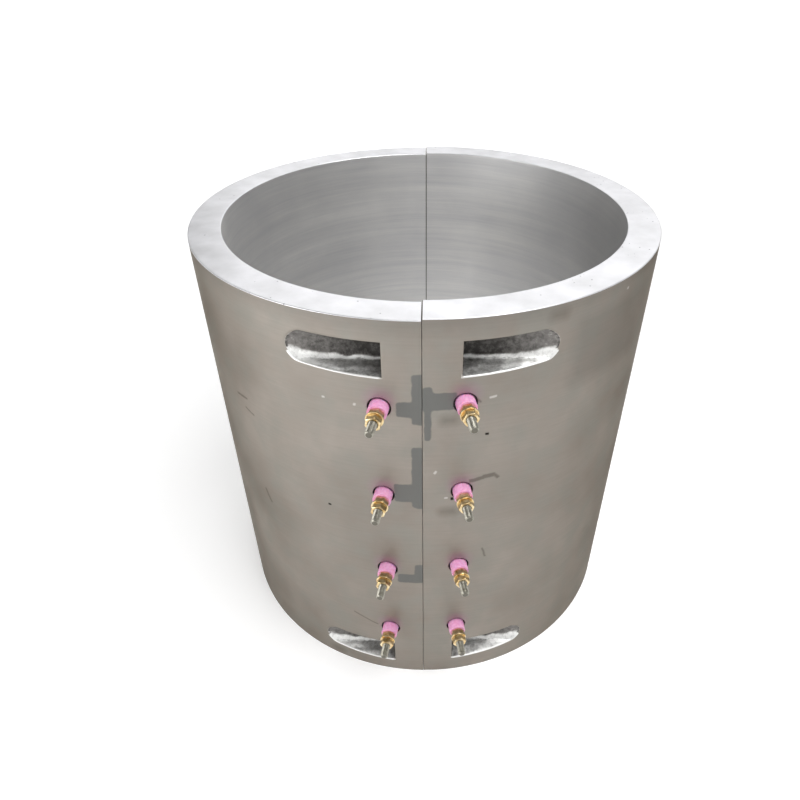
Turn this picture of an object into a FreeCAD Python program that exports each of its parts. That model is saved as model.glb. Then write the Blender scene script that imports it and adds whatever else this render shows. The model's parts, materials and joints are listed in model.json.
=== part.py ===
# Split cast-in ring heater, millimetres.
# Two half-ring aluminium castings close round a cylinder. Each holds two hairpin
# heating tubes, whose ends come out in one row of insulated screw terminals beside
# the split. Bolt pockets at both splits take the screws that draw the halves together.
#
# Frame: the origin is the centre of the bore at the bottom face, +Z runs up the bore,
# the terminals look towards -Y and the split lies in the plane x = 0.

import FreeCAD, Part
import math
import os
import Sketcher

Vector = FreeCAD.Vector
Rotation = FreeCAD.Rotation
Placement = FreeCAD.Placement

# Driving dimensions: millimetres, and degrees for the angles.
DRIVING = [
    ("bore_diameter", 260.0, "bore, the cylinder that is heated"),
    ("wall_thickness", 20.0, "bore to the outside of the ring"),
    ("left_height", 294.0, "height of the left casting"),
    ("height_step", 1.0, "right casting taller than the left one"),
    ("split_gap", 0.7, "gap between the two split faces"),
    ("rim_chamfer", 0.8, "broken edge at the outer rims"),
    ("bore_chamfer", 0.5, "broken edge at the bore rims"),
    ("lug_thickness", 20.2, "metal between split face and bolt pocket"),
    ("pocket_height", 20.8, "height of a bolt pocket at its mouth"),
    ("shelf_rise", 2.4, "draft of the pocket's lower wall, mouth to crease"),
    ("crease_metal", 4.4, "metal between bore and the pocket's crease"),
    ("crown_metal", 5.6, "metal between bore and the top of the pocket's floor"),
    ("floor_radius", 14.5, "radius of the pocket's hollow floor"),
    ("upper_pocket_drop", 23.6, "top face to middle of the upper pocket"),
    ("left_pocket_rise", 21.6, "bottom face to middle of the left lower pocket"),
    ("right_pocket_rise", 24.6, "bottom face to middle of the right lower pocket"),
    ("bolt_hole_diameter", 9.0, "clearance hole for a clamping screw"),
    ("lower_bolt_rise", 23.0, "bottom face to the lower clamping screws"),
    ("upper_bolt_drop", 23.0, "left top face to the upper clamping screws"),
    ("bolt_metal", 10.8, "bore to a clamping screw's axis"),
    ("terminal_angle", 8.7, "split to a terminal, seen from the bore's axis"),
    ("left_terminal_rise", 50.4, "bottom face to the lowest left terminal"),
    ("right_terminal_rise", 54.0, "bottom face to the lowest right terminal"),
    ("left_terminal_drop", 52.6, "left top face to the top left terminal"),
    ("right_terminal_drop", 50.4, "right top face to the top right terminal"),
    ("hairpin_span", 62.6, "between the two ends of one heating tube"),
    ("tube_metal", 8.6, "bore to the heating tubes' centre line"),
    ("tube_diameter", 10.0, "outside of the steel sheath"),
    ("sheath_wall", 0.7, "wall of the steel sheath"),
    ("coil_diameter", 4.6, "outside of the resistance coil"),
    ("end_bend", 8.0, "tube bend from its end into the ring"),
    ("return_bend", 15.0, "tube bends at the back of the hairpin"),
    ("return_angle", 168.0, "front split to the hairpin's back leg"),
    ("terminal_hole", 13.0, "hole round a terminal in the casting"),
    ("terminal_hole_depth", 2.2, "outside of the ring to the tube's end"),
    ("bush_diameter", 10.8, "ceramic bush"),
    ("bush_bore", 5.2, "hole in the ceramic bush"),
    ("bush_stand_out", 5.7, "ceramic bush proud of the ring"),
    ("bush_chamfer", 0.5, "broken edge at the bush's front"),
    ("stud_diameter", 5.0, "terminal stud"),
    ("stud_stand_out", 23.2, "terminal stud proud of the ring"),
    ("stud_chamfer", 0.8, "point of the terminal stud"),
    ("nut_flats", 8.0, "across the flats of a terminal nut"),
    ("nut_height", 4.0, "thickness of a terminal nut"),
    ("thread_clearance", 0.05, "nut and washer bores clear of the stud"),
    ("washer_diameter", 10.0, "terminal washer"),
    ("washer_bore", 5.3, "hole in the terminal washer"),
    ("washer_thickness", 1.0, "thickness of a terminal washer"),
]

ALIASES = {alias for alias, number, meaning in DRIVING}

# Sizes that follow from the driving ones, as the expressions that bind them.
OUTSIDE = "bore_diameter / 2 + wall_thickness"
TUBE_CIRCLE = "bore_diameter / 2 + tube_metal"
BEND_START = "sqrt( ( %s + end_bend ) ^ 2 - end_bend ^ 2 )" % TUBE_CIRCLE
HEIGHT = {"left": "left_height", "right": "left_height + height_step"}

# How far each nut had turned when it was tight, from the lowest terminal up.
INNER_NUT_TURNS = {"left": (30.0, 6.0, 2.0, 12.0), "right": (24.0, 17.0, 3.0, 8.0)}
OUTER_NUT_TURNS = {"left": (4.0, 10.0, 14.0, 20.0), "right": (11.0, 5.0, 8.0, 3.0)}
SIDES = {"left": -1, "right": 1}

doc = FreeCAD.newDocument("cast_heater")
sheet = doc.addObject("Spreadsheet::Sheet", "Sizes")
for row, (alias, number, meaning) in enumerate(DRIVING, start=1):
    sheet.set("A%d" % row, meaning)
    sheet.set("B%d" % row, str(number))
    sheet.setAlias("B%d" % row, alias)
doc.recompute()


def size(alias):
    """The value of one driving dimension."""
    return float(sheet.get(alias))


def bind(thing, path, expression):
    """Ties a property to the sheet. Names in the expression are the sheet's aliases."""
    words = []
    for word in expression.split():
        words.append("Sizes." + word if word in ALIASES else word)
    thing.setExpression(path, " ".join(words))


def outside():
    """Radius of the ring's outside."""
    return size("bore_diameter") / 2 + size("wall_thickness")


def height_of(name):
    """Height of one casting."""
    return size("left_height") + (size("height_step") if name == "right" else 0.0)


# Sketches and bodies

def origin_plane(body, role):
    for feature in body.Origin.OriginFeatures:
        if feature.Role == role:
            return feature
    raise ValueError("no plane " + role)


def new_sketch(body, role, name):
    sketch = body.newObject("Sketcher::SketchObject", name)
    sketch.AttachmentSupport = [(origin_plane(body, role), "")]
    sketch.MapMode = "FlatFace"
    return sketch


def hold_point(sketch, geometry, end, axis, expression):
    """Holds a point at a distance from an axis of the sketch. The distance is bound."""
    point = sketch.getPoint(geometry, end)
    value = point.x if axis == "X" else point.y
    ends = (-1, 1, geometry, end) if value > 0 else (geometry, end, -1, 1)
    number = sketch.addConstraint(Sketcher.Constraint("Distance" + axis, *ends, abs(value)))
    bind(sketch, "Constraints[%d]" % number, expression)


def join_corners(sketch, corners):
    """A closed outline of straight edges, level and upright ones kept so."""
    count = len(corners)
    for index in range(count):
        start, end = corners[index], corners[(index + 1) % count]
        line = Part.LineSegment(Vector(start[0], start[1], 0), Vector(end[0], end[1], 0))
        sketch.addGeometry(line, False)
    first = sketch.GeometryCount - count
    for index in range(count):
        here, following = first + index, first + (index + 1) % count
        sketch.addConstraint(Sketcher.Constraint("Coincident", here, 2, following, 1))
        start, end = corners[index], corners[(index + 1) % count]
        if abs(start[0] - end[0]) < 1e-9:
            sketch.addConstraint(Sketcher.Constraint("Vertical", here))
        elif abs(start[1] - end[1]) < 1e-9:
            sketch.addConstraint(Sketcher.Constraint("Horizontal", here))
    return first


def turned_body(name, corners, held, seat):
    """A turned piece: corners are (radius, height), held ties a corner's radius (X) or
    height (Y) to the sheet, and the first corner lies in the seat plane."""
    body = doc.addObject("PartDesign::Body", name)
    sketch = new_sketch(body, "XZ_Plane", name + "_section")
    first = join_corners(sketch, corners)
    sketch.addConstraint(Sketcher.Constraint("PointOnObject", first, 1, -1))
    if corners[0][0] == 0:
        sketch.addConstraint(Sketcher.Constraint("PointOnObject", first, 1, -2))
    for corner, axis, expression in held:
        hold_point(sketch, first + corner, 1, axis, expression)
    turn = body.newObject("PartDesign::Revolution", name + "_turn")
    turn.Profile = sketch
    turn.ReferenceAxis = (sketch, ["V_Axis"])
    turn.Angle = 360.0
    body.Placement = seat
    return body


# The casting

def ring_pad(body, name, side, height):
    """Half a ring on the XY plane, between the split faces, padded to its height."""
    sketch = new_sketch(body, "XY_Plane", name + "_ring")
    outer, inner = outside(), size("bore_diameter") / 2
    half_gap = size("split_gap") / 2
    arcs = []
    for radius in (outer, inner):
        reach = math.acos(half_gap / radius)
        middle = 0.0 if side > 0 else math.pi
        circle = Part.Circle(Vector(0, 0, 0), Vector(0, 0, 1), radius)
        arc = Part.ArcOfCircle(circle, middle - reach, middle + reach)
        arcs.append(sketch.addGeometry(arc, False))
    for end in (1, 2):
        start = sketch.getPoint(arcs[0], end)
        finish = sketch.getPoint(arcs[1], end)
        line = sketch.addGeometry(Part.LineSegment(start, finish), False)
        sketch.addConstraint(Sketcher.Constraint("Coincident", arcs[0], end, line, 1))
        sketch.addConstraint(Sketcher.Constraint("Coincident", arcs[1], end, line, 2))
        sketch.addConstraint(Sketcher.Constraint("Vertical", line))
        hold_point(sketch, line, 1, "X", "split_gap / 2")
    for arc, radius, expression in ((arcs[0], outer, OUTSIDE),
                                    (arcs[1], inner, "bore_diameter / 2")):
        sketch.addConstraint(Sketcher.Constraint("Coincident", arc, 3, -1, 1))
        number = sketch.addConstraint(Sketcher.Constraint("Radius", arc, radius))
        bind(sketch, "Constraints[%d]" % number, expression)
    pad = body.newObject("PartDesign::Pad", name + "_pad")
    pad.Profile = sketch
    bind(pad, "Length", height)
    return pad


def rim_edges(shape, radius):
    """The names of a half ring's rim edges of one radius."""
    names = []
    for number, edge in enumerate(shape.Edges, start=1):
        if isinstance(edge.Curve, Part.Circle) and abs(edge.Curve.Radius - radius) < 1e-6:
            names.append("Edge%d" % number)
    return names


def break_rims(body, base, name, radius, alias):
    doc.recompute()
    chamfer = body.newObject("PartDesign::Chamfer", name)
    chamfer.Base = (base, rim_edges(base.Shape, radius))
    bind(chamfer, "Size", alias)
    return chamfer


def lug_sketch(body, side, name):
    """A sketch in the plane where the lug ends and the bolt pocket begins."""
    sketch = new_sketch(body, "YZ_Plane", name)
    lug = "split_gap / 2 + lug_thickness"
    bind(sketch, "AttachmentOffset.Base.z", lug if side > 0 else "- ( %s )" % lug)
    return sketch


def pocket_sketch(body, name, side, middle, rise):
    """Section of a bolt pocket: a drafted lower wall, a crease, a hollow floor that
    curves back out, and a level upper wall. It stands where the lug ends."""
    sketch = lug_sketch(body, side, name + "_section")
    bore = size("bore_diameter") / 2
    low, high = middle - size("pocket_height") / 2, middle + size("pocket_height") / 2
    mouth = Vector(-outside(), low, 0)
    crease = Vector(-bore - size("crease_metal"), low + size("shelf_rise"), 0)
    crown = Vector(-bore - size("crown_metal"), high, 0)
    corner = Vector(-outside(), high, 0)
    shelf = sketch.addGeometry(Part.LineSegment(mouth, crease), False)
    floor = sketch.addGeometry(hollow_floor(crease, crown), False)
    roof = sketch.addGeometry(Part.LineSegment(crown, corner), False)
    front = sketch.addGeometry(Part.LineSegment(corner, mouth), False)
    low_end = 1 if sketch.getPoint(floor, 1).distanceToPoint(crease) < 1e-6 else 2
    sketch.addConstraint(Sketcher.Constraint("Coincident", shelf, 2, floor, low_end))
    sketch.addConstraint(Sketcher.Constraint("Coincident", floor, 3 - low_end, roof, 1))
    sketch.addConstraint(Sketcher.Constraint("Coincident", roof, 2, front, 1))
    sketch.addConstraint(Sketcher.Constraint("Coincident", front, 2, shelf, 1))
    sketch.addConstraint(Sketcher.Constraint("Horizontal", roof))
    sketch.addConstraint(Sketcher.Constraint("Vertical", front))
    number = sketch.addConstraint(Sketcher.Constraint("Radius", floor, size("floor_radius")))
    bind(sketch, "Constraints[%d]" % number, "floor_radius")
    hold_point(sketch, front, 2, "X", OUTSIDE)
    hold_point(sketch, shelf, 2, "X", "bore_diameter / 2 + crease_metal")
    hold_point(sketch, roof, 1, "X", "bore_diameter / 2 + crown_metal")
    hold_point(sketch, front, 2, "Y", rise + " - pocket_height / 2")
    hold_point(sketch, shelf, 2, "Y", rise + " - pocket_height / 2 + shelf_rise")
    hold_point(sketch, roof, 1, "Y", rise + " + pocket_height / 2")
    return sketch


def hollow_floor(crease, crown):
    """The arc from crease to crown that bulges towards the bore."""
    chord = crown.sub(crease)
    radius = size("floor_radius")
    half = chord.Length / 2
    sagitta = radius - math.sqrt(radius * radius - half * half)
    inward = Vector(chord.y, -chord.x, 0).normalize()
    middle = crease.add(chord * 0.5).add(inward * sagitta)
    return Part.Arc(crease, middle, crown)


def cut_along(body, name, sketch, side, outwards):
    """Cuts a sketch of the YZ plane through all, away from the split or towards it."""
    pocket = body.newObject("PartDesign::Pocket", name)
    pocket.Profile = sketch
    pocket.Type = "ThroughAll"
    pocket.Reversed = (side > 0) == outwards
    return pocket


def bolt_hole(body, name, side, height, rise):
    """The clamping screw's hole, from the pocket's flat end to the split face."""
    sketch = lug_sketch(body, side, name + "_circle")
    centre = Vector(-size("bore_diameter") / 2 - size("bolt_metal"), height, 0)
    circle = Part.Circle(centre, Vector(0, 0, 1), size("bolt_hole_diameter") / 2)
    ring = sketch.addGeometry(circle, False)
    hold_point(sketch, ring, 3, "X", "bore_diameter / 2 + bolt_metal")
    hold_point(sketch, ring, 3, "Y", rise)
    radius = Sketcher.Constraint("Radius", ring, size("bolt_hole_diameter") / 2)
    bind(sketch, "Constraints[%d]" % sketch.addConstraint(radius), "bolt_hole_diameter / 2")
    return cut_along(body, name, sketch, side, False)


def ring_body(name, side):
    """Half ring with its bolt pockets and screw holes, before the tubes are cast in."""
    body = doc.addObject("PartDesign::Body", name + "_ring_body")
    pad = ring_pad(body, name, side, HEIGHT[name])
    rims = break_rims(body, pad, name + "_outer_rims", outside(), "rim_chamfer")
    break_rims(body, rims, name + "_bore_rims", size("bore_diameter") / 2, "bore_chamfer")
    pockets = (("upper", height_of(name) - size("upper_pocket_drop"),
                HEIGHT[name] + " - upper_pocket_drop"),
               ("lower", size(name + "_pocket_rise"), name + "_pocket_rise"))
    screws = (("upper", size("left_height") - size("upper_bolt_drop"),
               "left_height - upper_bolt_drop"),
              ("lower", size("lower_bolt_rise"), "lower_bolt_rise"))
    cuts = []
    for level, middle, rise in pockets:
        label = "%s_%s_pocket" % (name, level)
        section = pocket_sketch(body, label, side, middle, rise)
        cuts.append(cut_along(body, label, section, side, True))
    for level, height, rise in screws:
        cuts.append(bolt_hole(body, "%s_%s_hole" % (name, level), side, height, rise))
    mirrored = body.newObject("PartDesign::Mirrored", name + "_back_pockets")
    mirrored.Originals = cuts
    mirrored.MirrorPlane = (origin_plane(body, "XZ_Plane"), [""])
    body.Tip = mirrored
    return body


# The hairpin tubes

def ring_point(side, radius, angle, height):
    """A point at an angle from the front split, on one side's half of the ring."""
    turn = math.radians(angle)
    return Vector(side * radius * math.sin(turn), -radius * math.cos(turn), height)


def tube_circle():
    """Radius from the bore's axis to a tube's centre line."""
    return size("bore_diameter") / 2 + size("tube_metal")


def bend_start():
    """Radius from the bore's axis at which a tube's straight end turns into its bend."""
    centre = tube_circle() + size("end_bend")
    return math.sqrt(centre ** 2 - size("end_bend") ** 2)


def tube_end():
    """Radius from the bore's axis to the open end of a tube."""
    return outside() - size("terminal_hole_depth")


def arc_about(centre, start, end):
    """The short arc from start to end about a centre."""
    middle = start.sub(centre).add(end.sub(centre)).normalize()
    return Part.Arc(start, centre.add(middle * start.sub(centre).Length), end)


def hairpin_route(name, side, low, with_ends):
    """Centre line of one tube: in at the lower terminal, round the ring, up a back leg
    and round again to the upper terminal. Every turn is an arc."""
    circle, bend, back = tube_circle(), size("end_bend"), size("return_bend")
    terminal = size("terminal_angle")
    into_ring = terminal + math.degrees(math.asin(bend / (circle + bend)))
    out_of_ring = size("return_angle") - math.degrees(math.atan(back / circle))
    halfway = (into_ring + out_of_ring) / 2
    turn = math.radians(out_of_ring)
    along = Vector(side * math.cos(turn), math.sin(turn), 0)
    up = Vector(0, 0, 1)

    def level_run(height):
        """Straight end, end bend and ring arc at one height, from the outside in."""
        edges = []
        start = ring_point(side, bend_start(), terminal, height)
        centre = ring_point(side, circle + bend, into_ring, height)
        joined = ring_point(side, circle, into_ring, height)
        if with_ends:
            mouth = ring_point(side, tube_end(), terminal, height)
            edges.append(Part.LineSegment(mouth, start).toShape())
        edges.append(arc_about(centre, start, joined).toShape())
        edges.append(Part.Arc(joined, ring_point(side, circle, halfway, height),
                              ring_point(side, circle, out_of_ring, height)).toShape())
        return edges

    high = low + size("hairpin_span")
    lower_turn = ring_point(side, circle, out_of_ring, low)
    upper_turn = ring_point(side, circle, out_of_ring, high)
    leg_foot = lower_turn.add(along * back).add(up * back)
    leg_head = upper_turn.add(along * back).sub(up * back)
    edges = level_run(low)
    edges.append(arc_about(lower_turn.add(up * back), lower_turn, leg_foot).toShape())
    edges.append(Part.LineSegment(leg_foot, leg_head).toShape())
    edges.append(arc_about(upper_turn.sub(up * back), leg_head, upper_turn).toShape())
    edges.extend(reversed(level_run(high)))
    route = doc.addObject("Part::Feature", name)
    route.Shape = Part.Wire(Part.__sortEdges__(edges))
    return route


def swept_tube(name, side, low, route, start_radius, diameter):
    """A round bar along a route, its diameter bound to the sheet."""
    section = doc.addObject("Part::Circle", name + "_section")
    bind(section, "Radius", diameter)
    start = ring_point(side, start_radius, size("terminal_angle"), low)
    section.Placement = Placement(start, terminal_turn(side, 0.0))
    sweep = doc.addObject("Part::Sweep", name)
    sweep.Sections = [section]
    edge_names = ["Edge%d" % (number + 1) for number in range(len(route.Shape.Edges))]
    sweep.Spine = (route, edge_names)
    sweep.Solid = True
    sweep.Frenet = False
    return sweep


def hairpin(name, side, low):
    """The three bars of one heating tube: sheath outside, powder space and coil."""
    full = hairpin_route(name + "_route", side, low, True)
    inner = hairpin_route(name + "_coil_route", side, low, False)
    tube = swept_tube(name + "_tube", side, low, full, tube_end(), "tube_diameter / 2")
    inside = swept_tube(name + "_inside", side, low, full, tube_end(),
                        "tube_diameter / 2 - sheath_wall")
    coil = swept_tube(name + "_coil", side, low, inner, bend_start(), "coil_diameter / 2")
    sheath = doc.addObject("Part::Cut", name + "_sheath")
    sheath.Base = tube
    sheath.Tool = inside
    return tube, inside, coil, sheath


# The terminals

def terminal_turn(side, roll):
    """Turns a piece's own +Z to point straight out of the ring at the terminals."""
    yaw = side * size("terminal_angle")
    return Rotation(yaw, 0, 90).multiply(Rotation(Vector(0, 0, 1), roll))


def terminal_seat(side, radius, height, roll=0.0):
    """Placement of a terminal piece whose inner face lies at a radius from the axis."""
    return Placement(ring_point(side, radius, size("terminal_angle"), height),
                     terminal_turn(side, roll))


def stud(name, side, height):
    """Terminal stud: from the coil's end out through the bush, with a pointed end."""
    radius, chamfer = size("stud_diameter") / 2, size("stud_chamfer")
    length = outside() + size("stud_stand_out") - bend_start()
    reach = "%s + stud_stand_out - %s" % (OUTSIDE, BEND_START)
    corners = [(0, 0), (radius, 0), (radius, length - chamfer),
               (radius - chamfer, length), (0, length)]
    held = [(1, "X", "stud_diameter / 2"), (4, "Y", reach),
            (2, "Y", reach + " - stud_chamfer"),
            (3, "X", "stud_diameter / 2 - stud_chamfer")]
    return turned_body(name, corners, held, terminal_seat(side, bend_start(), height))


def bush(name, side, height):
    """Ceramic bush: sits on the tube's end and stands proud of the ring."""
    bore, radius = size("bush_bore") / 2, size("bush_diameter") / 2
    chamfer = size("bush_chamfer")
    length = size("terminal_hole_depth") + size("bush_stand_out")
    reach = "terminal_hole_depth + bush_stand_out"
    corners = [(bore, 0), (radius, 0), (radius, length - chamfer),
               (radius - chamfer, length), (bore, length)]
    held = [(0, "X", "bush_bore / 2"), (1, "X", "bush_diameter / 2"), (4, "Y", reach),
            (2, "Y", reach + " - bush_chamfer"),
            (3, "X", "bush_diameter / 2 - bush_chamfer")]
    return turned_body(name, corners, held, terminal_seat(side, tube_end(), height))


def washer(name, side, height, radius):
    """Flat round washer between the two nuts."""
    bore, rim = size("washer_bore") / 2, size("washer_diameter") / 2
    thick = size("washer_thickness")
    corners = [(bore, 0), (rim, 0), (rim, thick), (bore, thick)]
    held = [(0, "X", "washer_bore / 2"), (1, "X", "washer_diameter / 2"),
            (2, "Y", "washer_thickness")]
    return turned_body(name, corners, held, terminal_seat(side, radius, height))


def nut(name, side, height, radius, roll):
    """Hexagon nut: a padded hexagon with its bore, both faces chamfered at 30 degrees."""
    body = doc.addObject("PartDesign::Body", name)
    sketch = new_sketch(body, "XY_Plane", name + "_hexagon")
    corner = size("nut_flats") / math.sqrt(3)
    turns = [math.radians(60 * index) for index in range(6)]
    corners = [(corner * math.cos(turn), corner * math.sin(turn)) for turn in turns]
    ring = Part.Circle(Vector(0, 0, 0), Vector(0, 0, 1), corner)
    for index in range(6):
        start, end = corners[index], corners[(index + 1) % 6]
        side_line = Part.LineSegment(Vector(start[0], start[1], 0),
                                     Vector(end[0], end[1], 0))
        sketch.addGeometry(side_line, False)
    guide = sketch.addGeometry(ring, True)
    for index in range(6):
        sketch.addConstraint(Sketcher.Constraint("Coincident", index, 2, (index + 1) % 6, 1))
        sketch.addConstraint(Sketcher.Constraint("PointOnObject", index, 1, guide))
        if index:
            sketch.addConstraint(Sketcher.Constraint("Equal", 0, index))
    sketch.addConstraint(Sketcher.Constraint("Coincident", guide, 3, -1, 1))
    sketch.addConstraint(Sketcher.Constraint("PointOnObject", 0, 1, -1))
    number = sketch.addConstraint(Sketcher.Constraint("Radius", guide, corner))
    bind(sketch, "Constraints[%d]" % number, "nut_flats / sqrt( 3 )")
    bore = size("stud_diameter") / 2 + size("thread_clearance")
    hole = sketch.addGeometry(Part.Circle(Vector(0, 0, 0), Vector(0, 0, 1), bore), False)
    sketch.addConstraint(Sketcher.Constraint("Coincident", hole, 3, -1, 1))
    number = sketch.addConstraint(Sketcher.Constraint("Radius", hole, bore))
    bind(sketch, "Constraints[%d]" % number, "stud_diameter / 2 + thread_clearance")
    pad = body.newObject("PartDesign::Pad", name + "_pad")
    pad.Profile = sketch
    bind(pad, "Length", "nut_height")
    doc.recompute()
    flats, thick = size("nut_flats") / 2, size("nut_height")
    fall = (corner - flats) * math.tan(math.radians(30))
    slope = "( nut_flats / sqrt( 3 ) - nut_flats / 2 ) * tan( 30 )"
    cutter = new_sketch(body, "XZ_Plane", name + "_corner_cut")
    top = join_corners(cutter, [(flats, thick), (corner, thick), (corner, thick - fall)])
    hold_point(cutter, top, 1, "X", "nut_flats / 2")
    hold_point(cutter, top, 1, "Y", "nut_height")
    hold_point(cutter, top + 1, 1, "X", "nut_flats / sqrt( 3 )")
    hold_point(cutter, top + 2, 1, "Y", "nut_height - " + slope)
    low = join_corners(cutter, [(flats, 0), (corner, 0), (corner, fall)])
    cutter.addConstraint(Sketcher.Constraint("PointOnObject", low, 1, -1))
    hold_point(cutter, low, 1, "X", "nut_flats / 2")
    hold_point(cutter, low + 1, 1, "X", "nut_flats / sqrt( 3 )")
    hold_point(cutter, low + 2, 1, "Y", slope)
    groove = body.newObject("PartDesign::Groove", name + "_corners")
    groove.Profile = cutter
    groove.ReferenceAxis = (cutter, ["V_Axis"])
    groove.Angle = 360.0
    body.Placement = terminal_seat(side, radius, height, roll)
    return body


def terminal_hole(name, side, height):
    """The round hole in the casting that shows a terminal's tube end."""
    hole = doc.addObject("Part::Cylinder", name)
    bind(hole, "Radius", "terminal_hole / 2")
    bind(hole, "Height", "terminal_hole_depth + terminal_hole / 2")
    hole.Placement = terminal_seat(side, tube_end(), height)
    return hole


# One half of the heater

def half_heater(name, side):
    """Makes one half and returns its pieces by node name."""
    pieces = {}
    span = size("hairpin_span")
    lowest = {"lower": size(name + "_terminal_rise"),
              "upper": height_of(name) - size(name + "_terminal_drop") - span}
    hollows = []
    tubes = {}
    for level, low in lowest.items():
        tube, inside, coil, sheath = hairpin("%s_%s" % (name, level), side, low)
        tubes[level] = (inside, coil)
        hollows.append(tube)
        pieces["%s_%s_coil" % (name, level)] = coil
        pieces["%s_%s_sheath" % (name, level)] = sheath
    inner_nut_seat = outside() + size("bush_stand_out")
    washer_seat = inner_nut_seat + size("nut_height")
    outer_nut_seat = washer_seat + size("washer_thickness")
    heights = [low + rise for low in lowest.values() for rise in (0.0, span)]
    studs = []
    for index, height in enumerate(heights):
        number = len(heights) - index
        label = name + "_%s_" + str(number)
        hollows.append(terminal_hole(label % "terminal_hole", side, height))
        studs.append(stud(label % "stud", side, height))
        pieces[label % "stud"] = studs[-1]
        pieces[label % "bush"] = bush(label % "bush", side, height)
        pieces[label % "inner_nut"] = nut(label % "inner_nut", side, height,
                                          inner_nut_seat, INNER_NUT_TURNS[name][index])
        pieces[label % "washer"] = washer(label % "washer", side, height, washer_seat)
        pieces[label % "outer_nut"] = nut(label % "outer_nut", side, height,
                                          outer_nut_seat, OUTER_NUT_TURNS[name][index])
    for index, (level, (inside, coil)) in enumerate(tubes.items()):
        core = doc.addObject("Part::MultiFuse", "%s_%s_core" % (name, level))
        core.Shapes = [coil, studs[2 * index], studs[2 * index + 1]]
        powder = doc.addObject("Part::Cut", "%s_%s_powder" % (name, level))
        powder.Base = inside
        powder.Tool = core
        pieces["%s_%s_powder" % (name, level)] = powder
    hollow = doc.addObject("Part::MultiFuse", name + "_hollows")
    hollow.Shapes = hollows
    casting = doc.addObject("Part::Cut", name + "_casting")
    casting.Base = ring_body(name, side)
    casting.Tool = hollow
    pieces[name + "_half_casting"] = casting
    return pieces


nodes = {}
for side_name, side_sign in SIDES.items():
    nodes.update(half_heater(side_name, side_sign))
doc.recompute()

for thing in doc.Objects:
    if "Invalid" in thing.State or "Error" in thing.State:
        raise RuntimeError("failed: %s %s" % (thing.Name, thing.State))
for node_name, thing in nodes.items():
    thing.Label = node_name
    if thing.Shape.isNull() or not thing.Shape.isValid():
        raise RuntimeError("bad shape: " + node_name)
    if len(thing.Shape.Solids) != 1:
        raise RuntimeError("%s has %d solids" % (node_name, len(thing.Shape.Solids)))

os.makedirs("parts", exist_ok=True)
for node_name, thing in nodes.items():
    thing.Shape.exportStep("parts/%s.step" % node_name)
print("wrote %d pieces" % len(nodes))
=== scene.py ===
# %% [markdown]
# # A split cast-in ring heater, dressed for its picture
# The heater is two half rings of cast aluminium. Each holds two heating tubes, whose
# ends come out as four insulated screw terminals beside the split. This lesson makes
# its visible surfaces with numpy: every shape is a function of two parameters on a grid,
# and every finish is a small tree of shader nodes.
#
# The frame below is the finished construction, in metres. Nothing in it is moved. The
# new pieces are laid over it, in the same place and at the same size.

# %% Load the frame
import json
import math

import bmesh
import bpy
import numpy as np
from mathutils import Matrix, Vector
from mathutils.geometry import tessellate_polygon


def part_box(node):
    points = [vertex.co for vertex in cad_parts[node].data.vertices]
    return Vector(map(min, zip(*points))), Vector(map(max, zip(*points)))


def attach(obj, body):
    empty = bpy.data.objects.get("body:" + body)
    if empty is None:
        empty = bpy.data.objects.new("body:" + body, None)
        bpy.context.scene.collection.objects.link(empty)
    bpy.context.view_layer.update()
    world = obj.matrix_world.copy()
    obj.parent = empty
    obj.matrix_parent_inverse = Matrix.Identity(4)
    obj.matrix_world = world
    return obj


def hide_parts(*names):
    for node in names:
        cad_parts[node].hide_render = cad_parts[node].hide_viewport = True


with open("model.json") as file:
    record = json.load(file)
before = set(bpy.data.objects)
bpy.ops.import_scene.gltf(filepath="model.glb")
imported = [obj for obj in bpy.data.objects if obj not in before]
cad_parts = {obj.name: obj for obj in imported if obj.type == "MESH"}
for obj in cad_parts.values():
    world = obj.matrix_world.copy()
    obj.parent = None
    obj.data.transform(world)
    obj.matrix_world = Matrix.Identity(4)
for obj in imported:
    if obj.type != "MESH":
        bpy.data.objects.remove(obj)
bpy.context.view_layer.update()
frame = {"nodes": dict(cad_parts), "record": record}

# %% [markdown]
# ## Measures
# The shape functions work in millimetres, as a workshop drawing does, and the mesh
# helper turns them into metres. What the frame knows is read from it: the bore, the
# height, the terminals and the clamping screws. The rest are the drawing's own sizes.

# %% Sizes from the frame
MM = 0.001
MOUNTS = {mount["name"]: mount for mount in frame["record"]["mounts"]}
BORE = MOUNTS["barrel_bore"]["dims"]["r_mm"]
SCREWS = MOUNTS["clamp_screws"]
SCREW_HOLE = SCREWS["dims"]["hole_r_mm"]
SCREW_DEPTH = SCREWS["dims"]["spacing_x_mm"] / 2
SCREW_HEIGHTS = [SCREWS["pos_m"][2] / MM + sign * SCREWS["dims"]["spacing_y_mm"] / 2
                 for sign in (-1, 1)]
SIDES = {"left": -1, "right": 1}
HEIGHT = {name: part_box(name + "_half_casting")[1].z / MM for name in SIDES}
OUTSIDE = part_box("right_half_casting")[1].x / MM
HALF_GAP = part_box("right_half_casting")[0].x / MM
print("bore %.1f, outside %.1f, half gap %.2f" % (BORE, OUTSIDE, HALF_GAP))


def terminal_levels(name):
    """Heights of one half's terminals, from the lowest up."""
    levels = []
    for pair in ("lower", "upper"):
        mount = MOUNTS["%s_%s_terminals" % (name, pair)]
        middle, span = mount["pos_m"][2] / MM, mount["dims"]["pcd_mm"]
        levels += [middle - span / 2, middle + span / 2]
    return levels


TERMINAL_AXIS = Vector(MOUNTS["right_lower_terminals"]["axis"])
TERMINAL_ANGLE = math.atan2(TERMINAL_AXIS.x, -TERMINAL_AXIS.y)
print("terminals at %.1f degrees" % math.degrees(TERMINAL_ANGLE))
for name in SIDES:
    print(name, "height", round(HEIGHT[name], 1), "terminals", terminal_levels(name))

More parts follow.
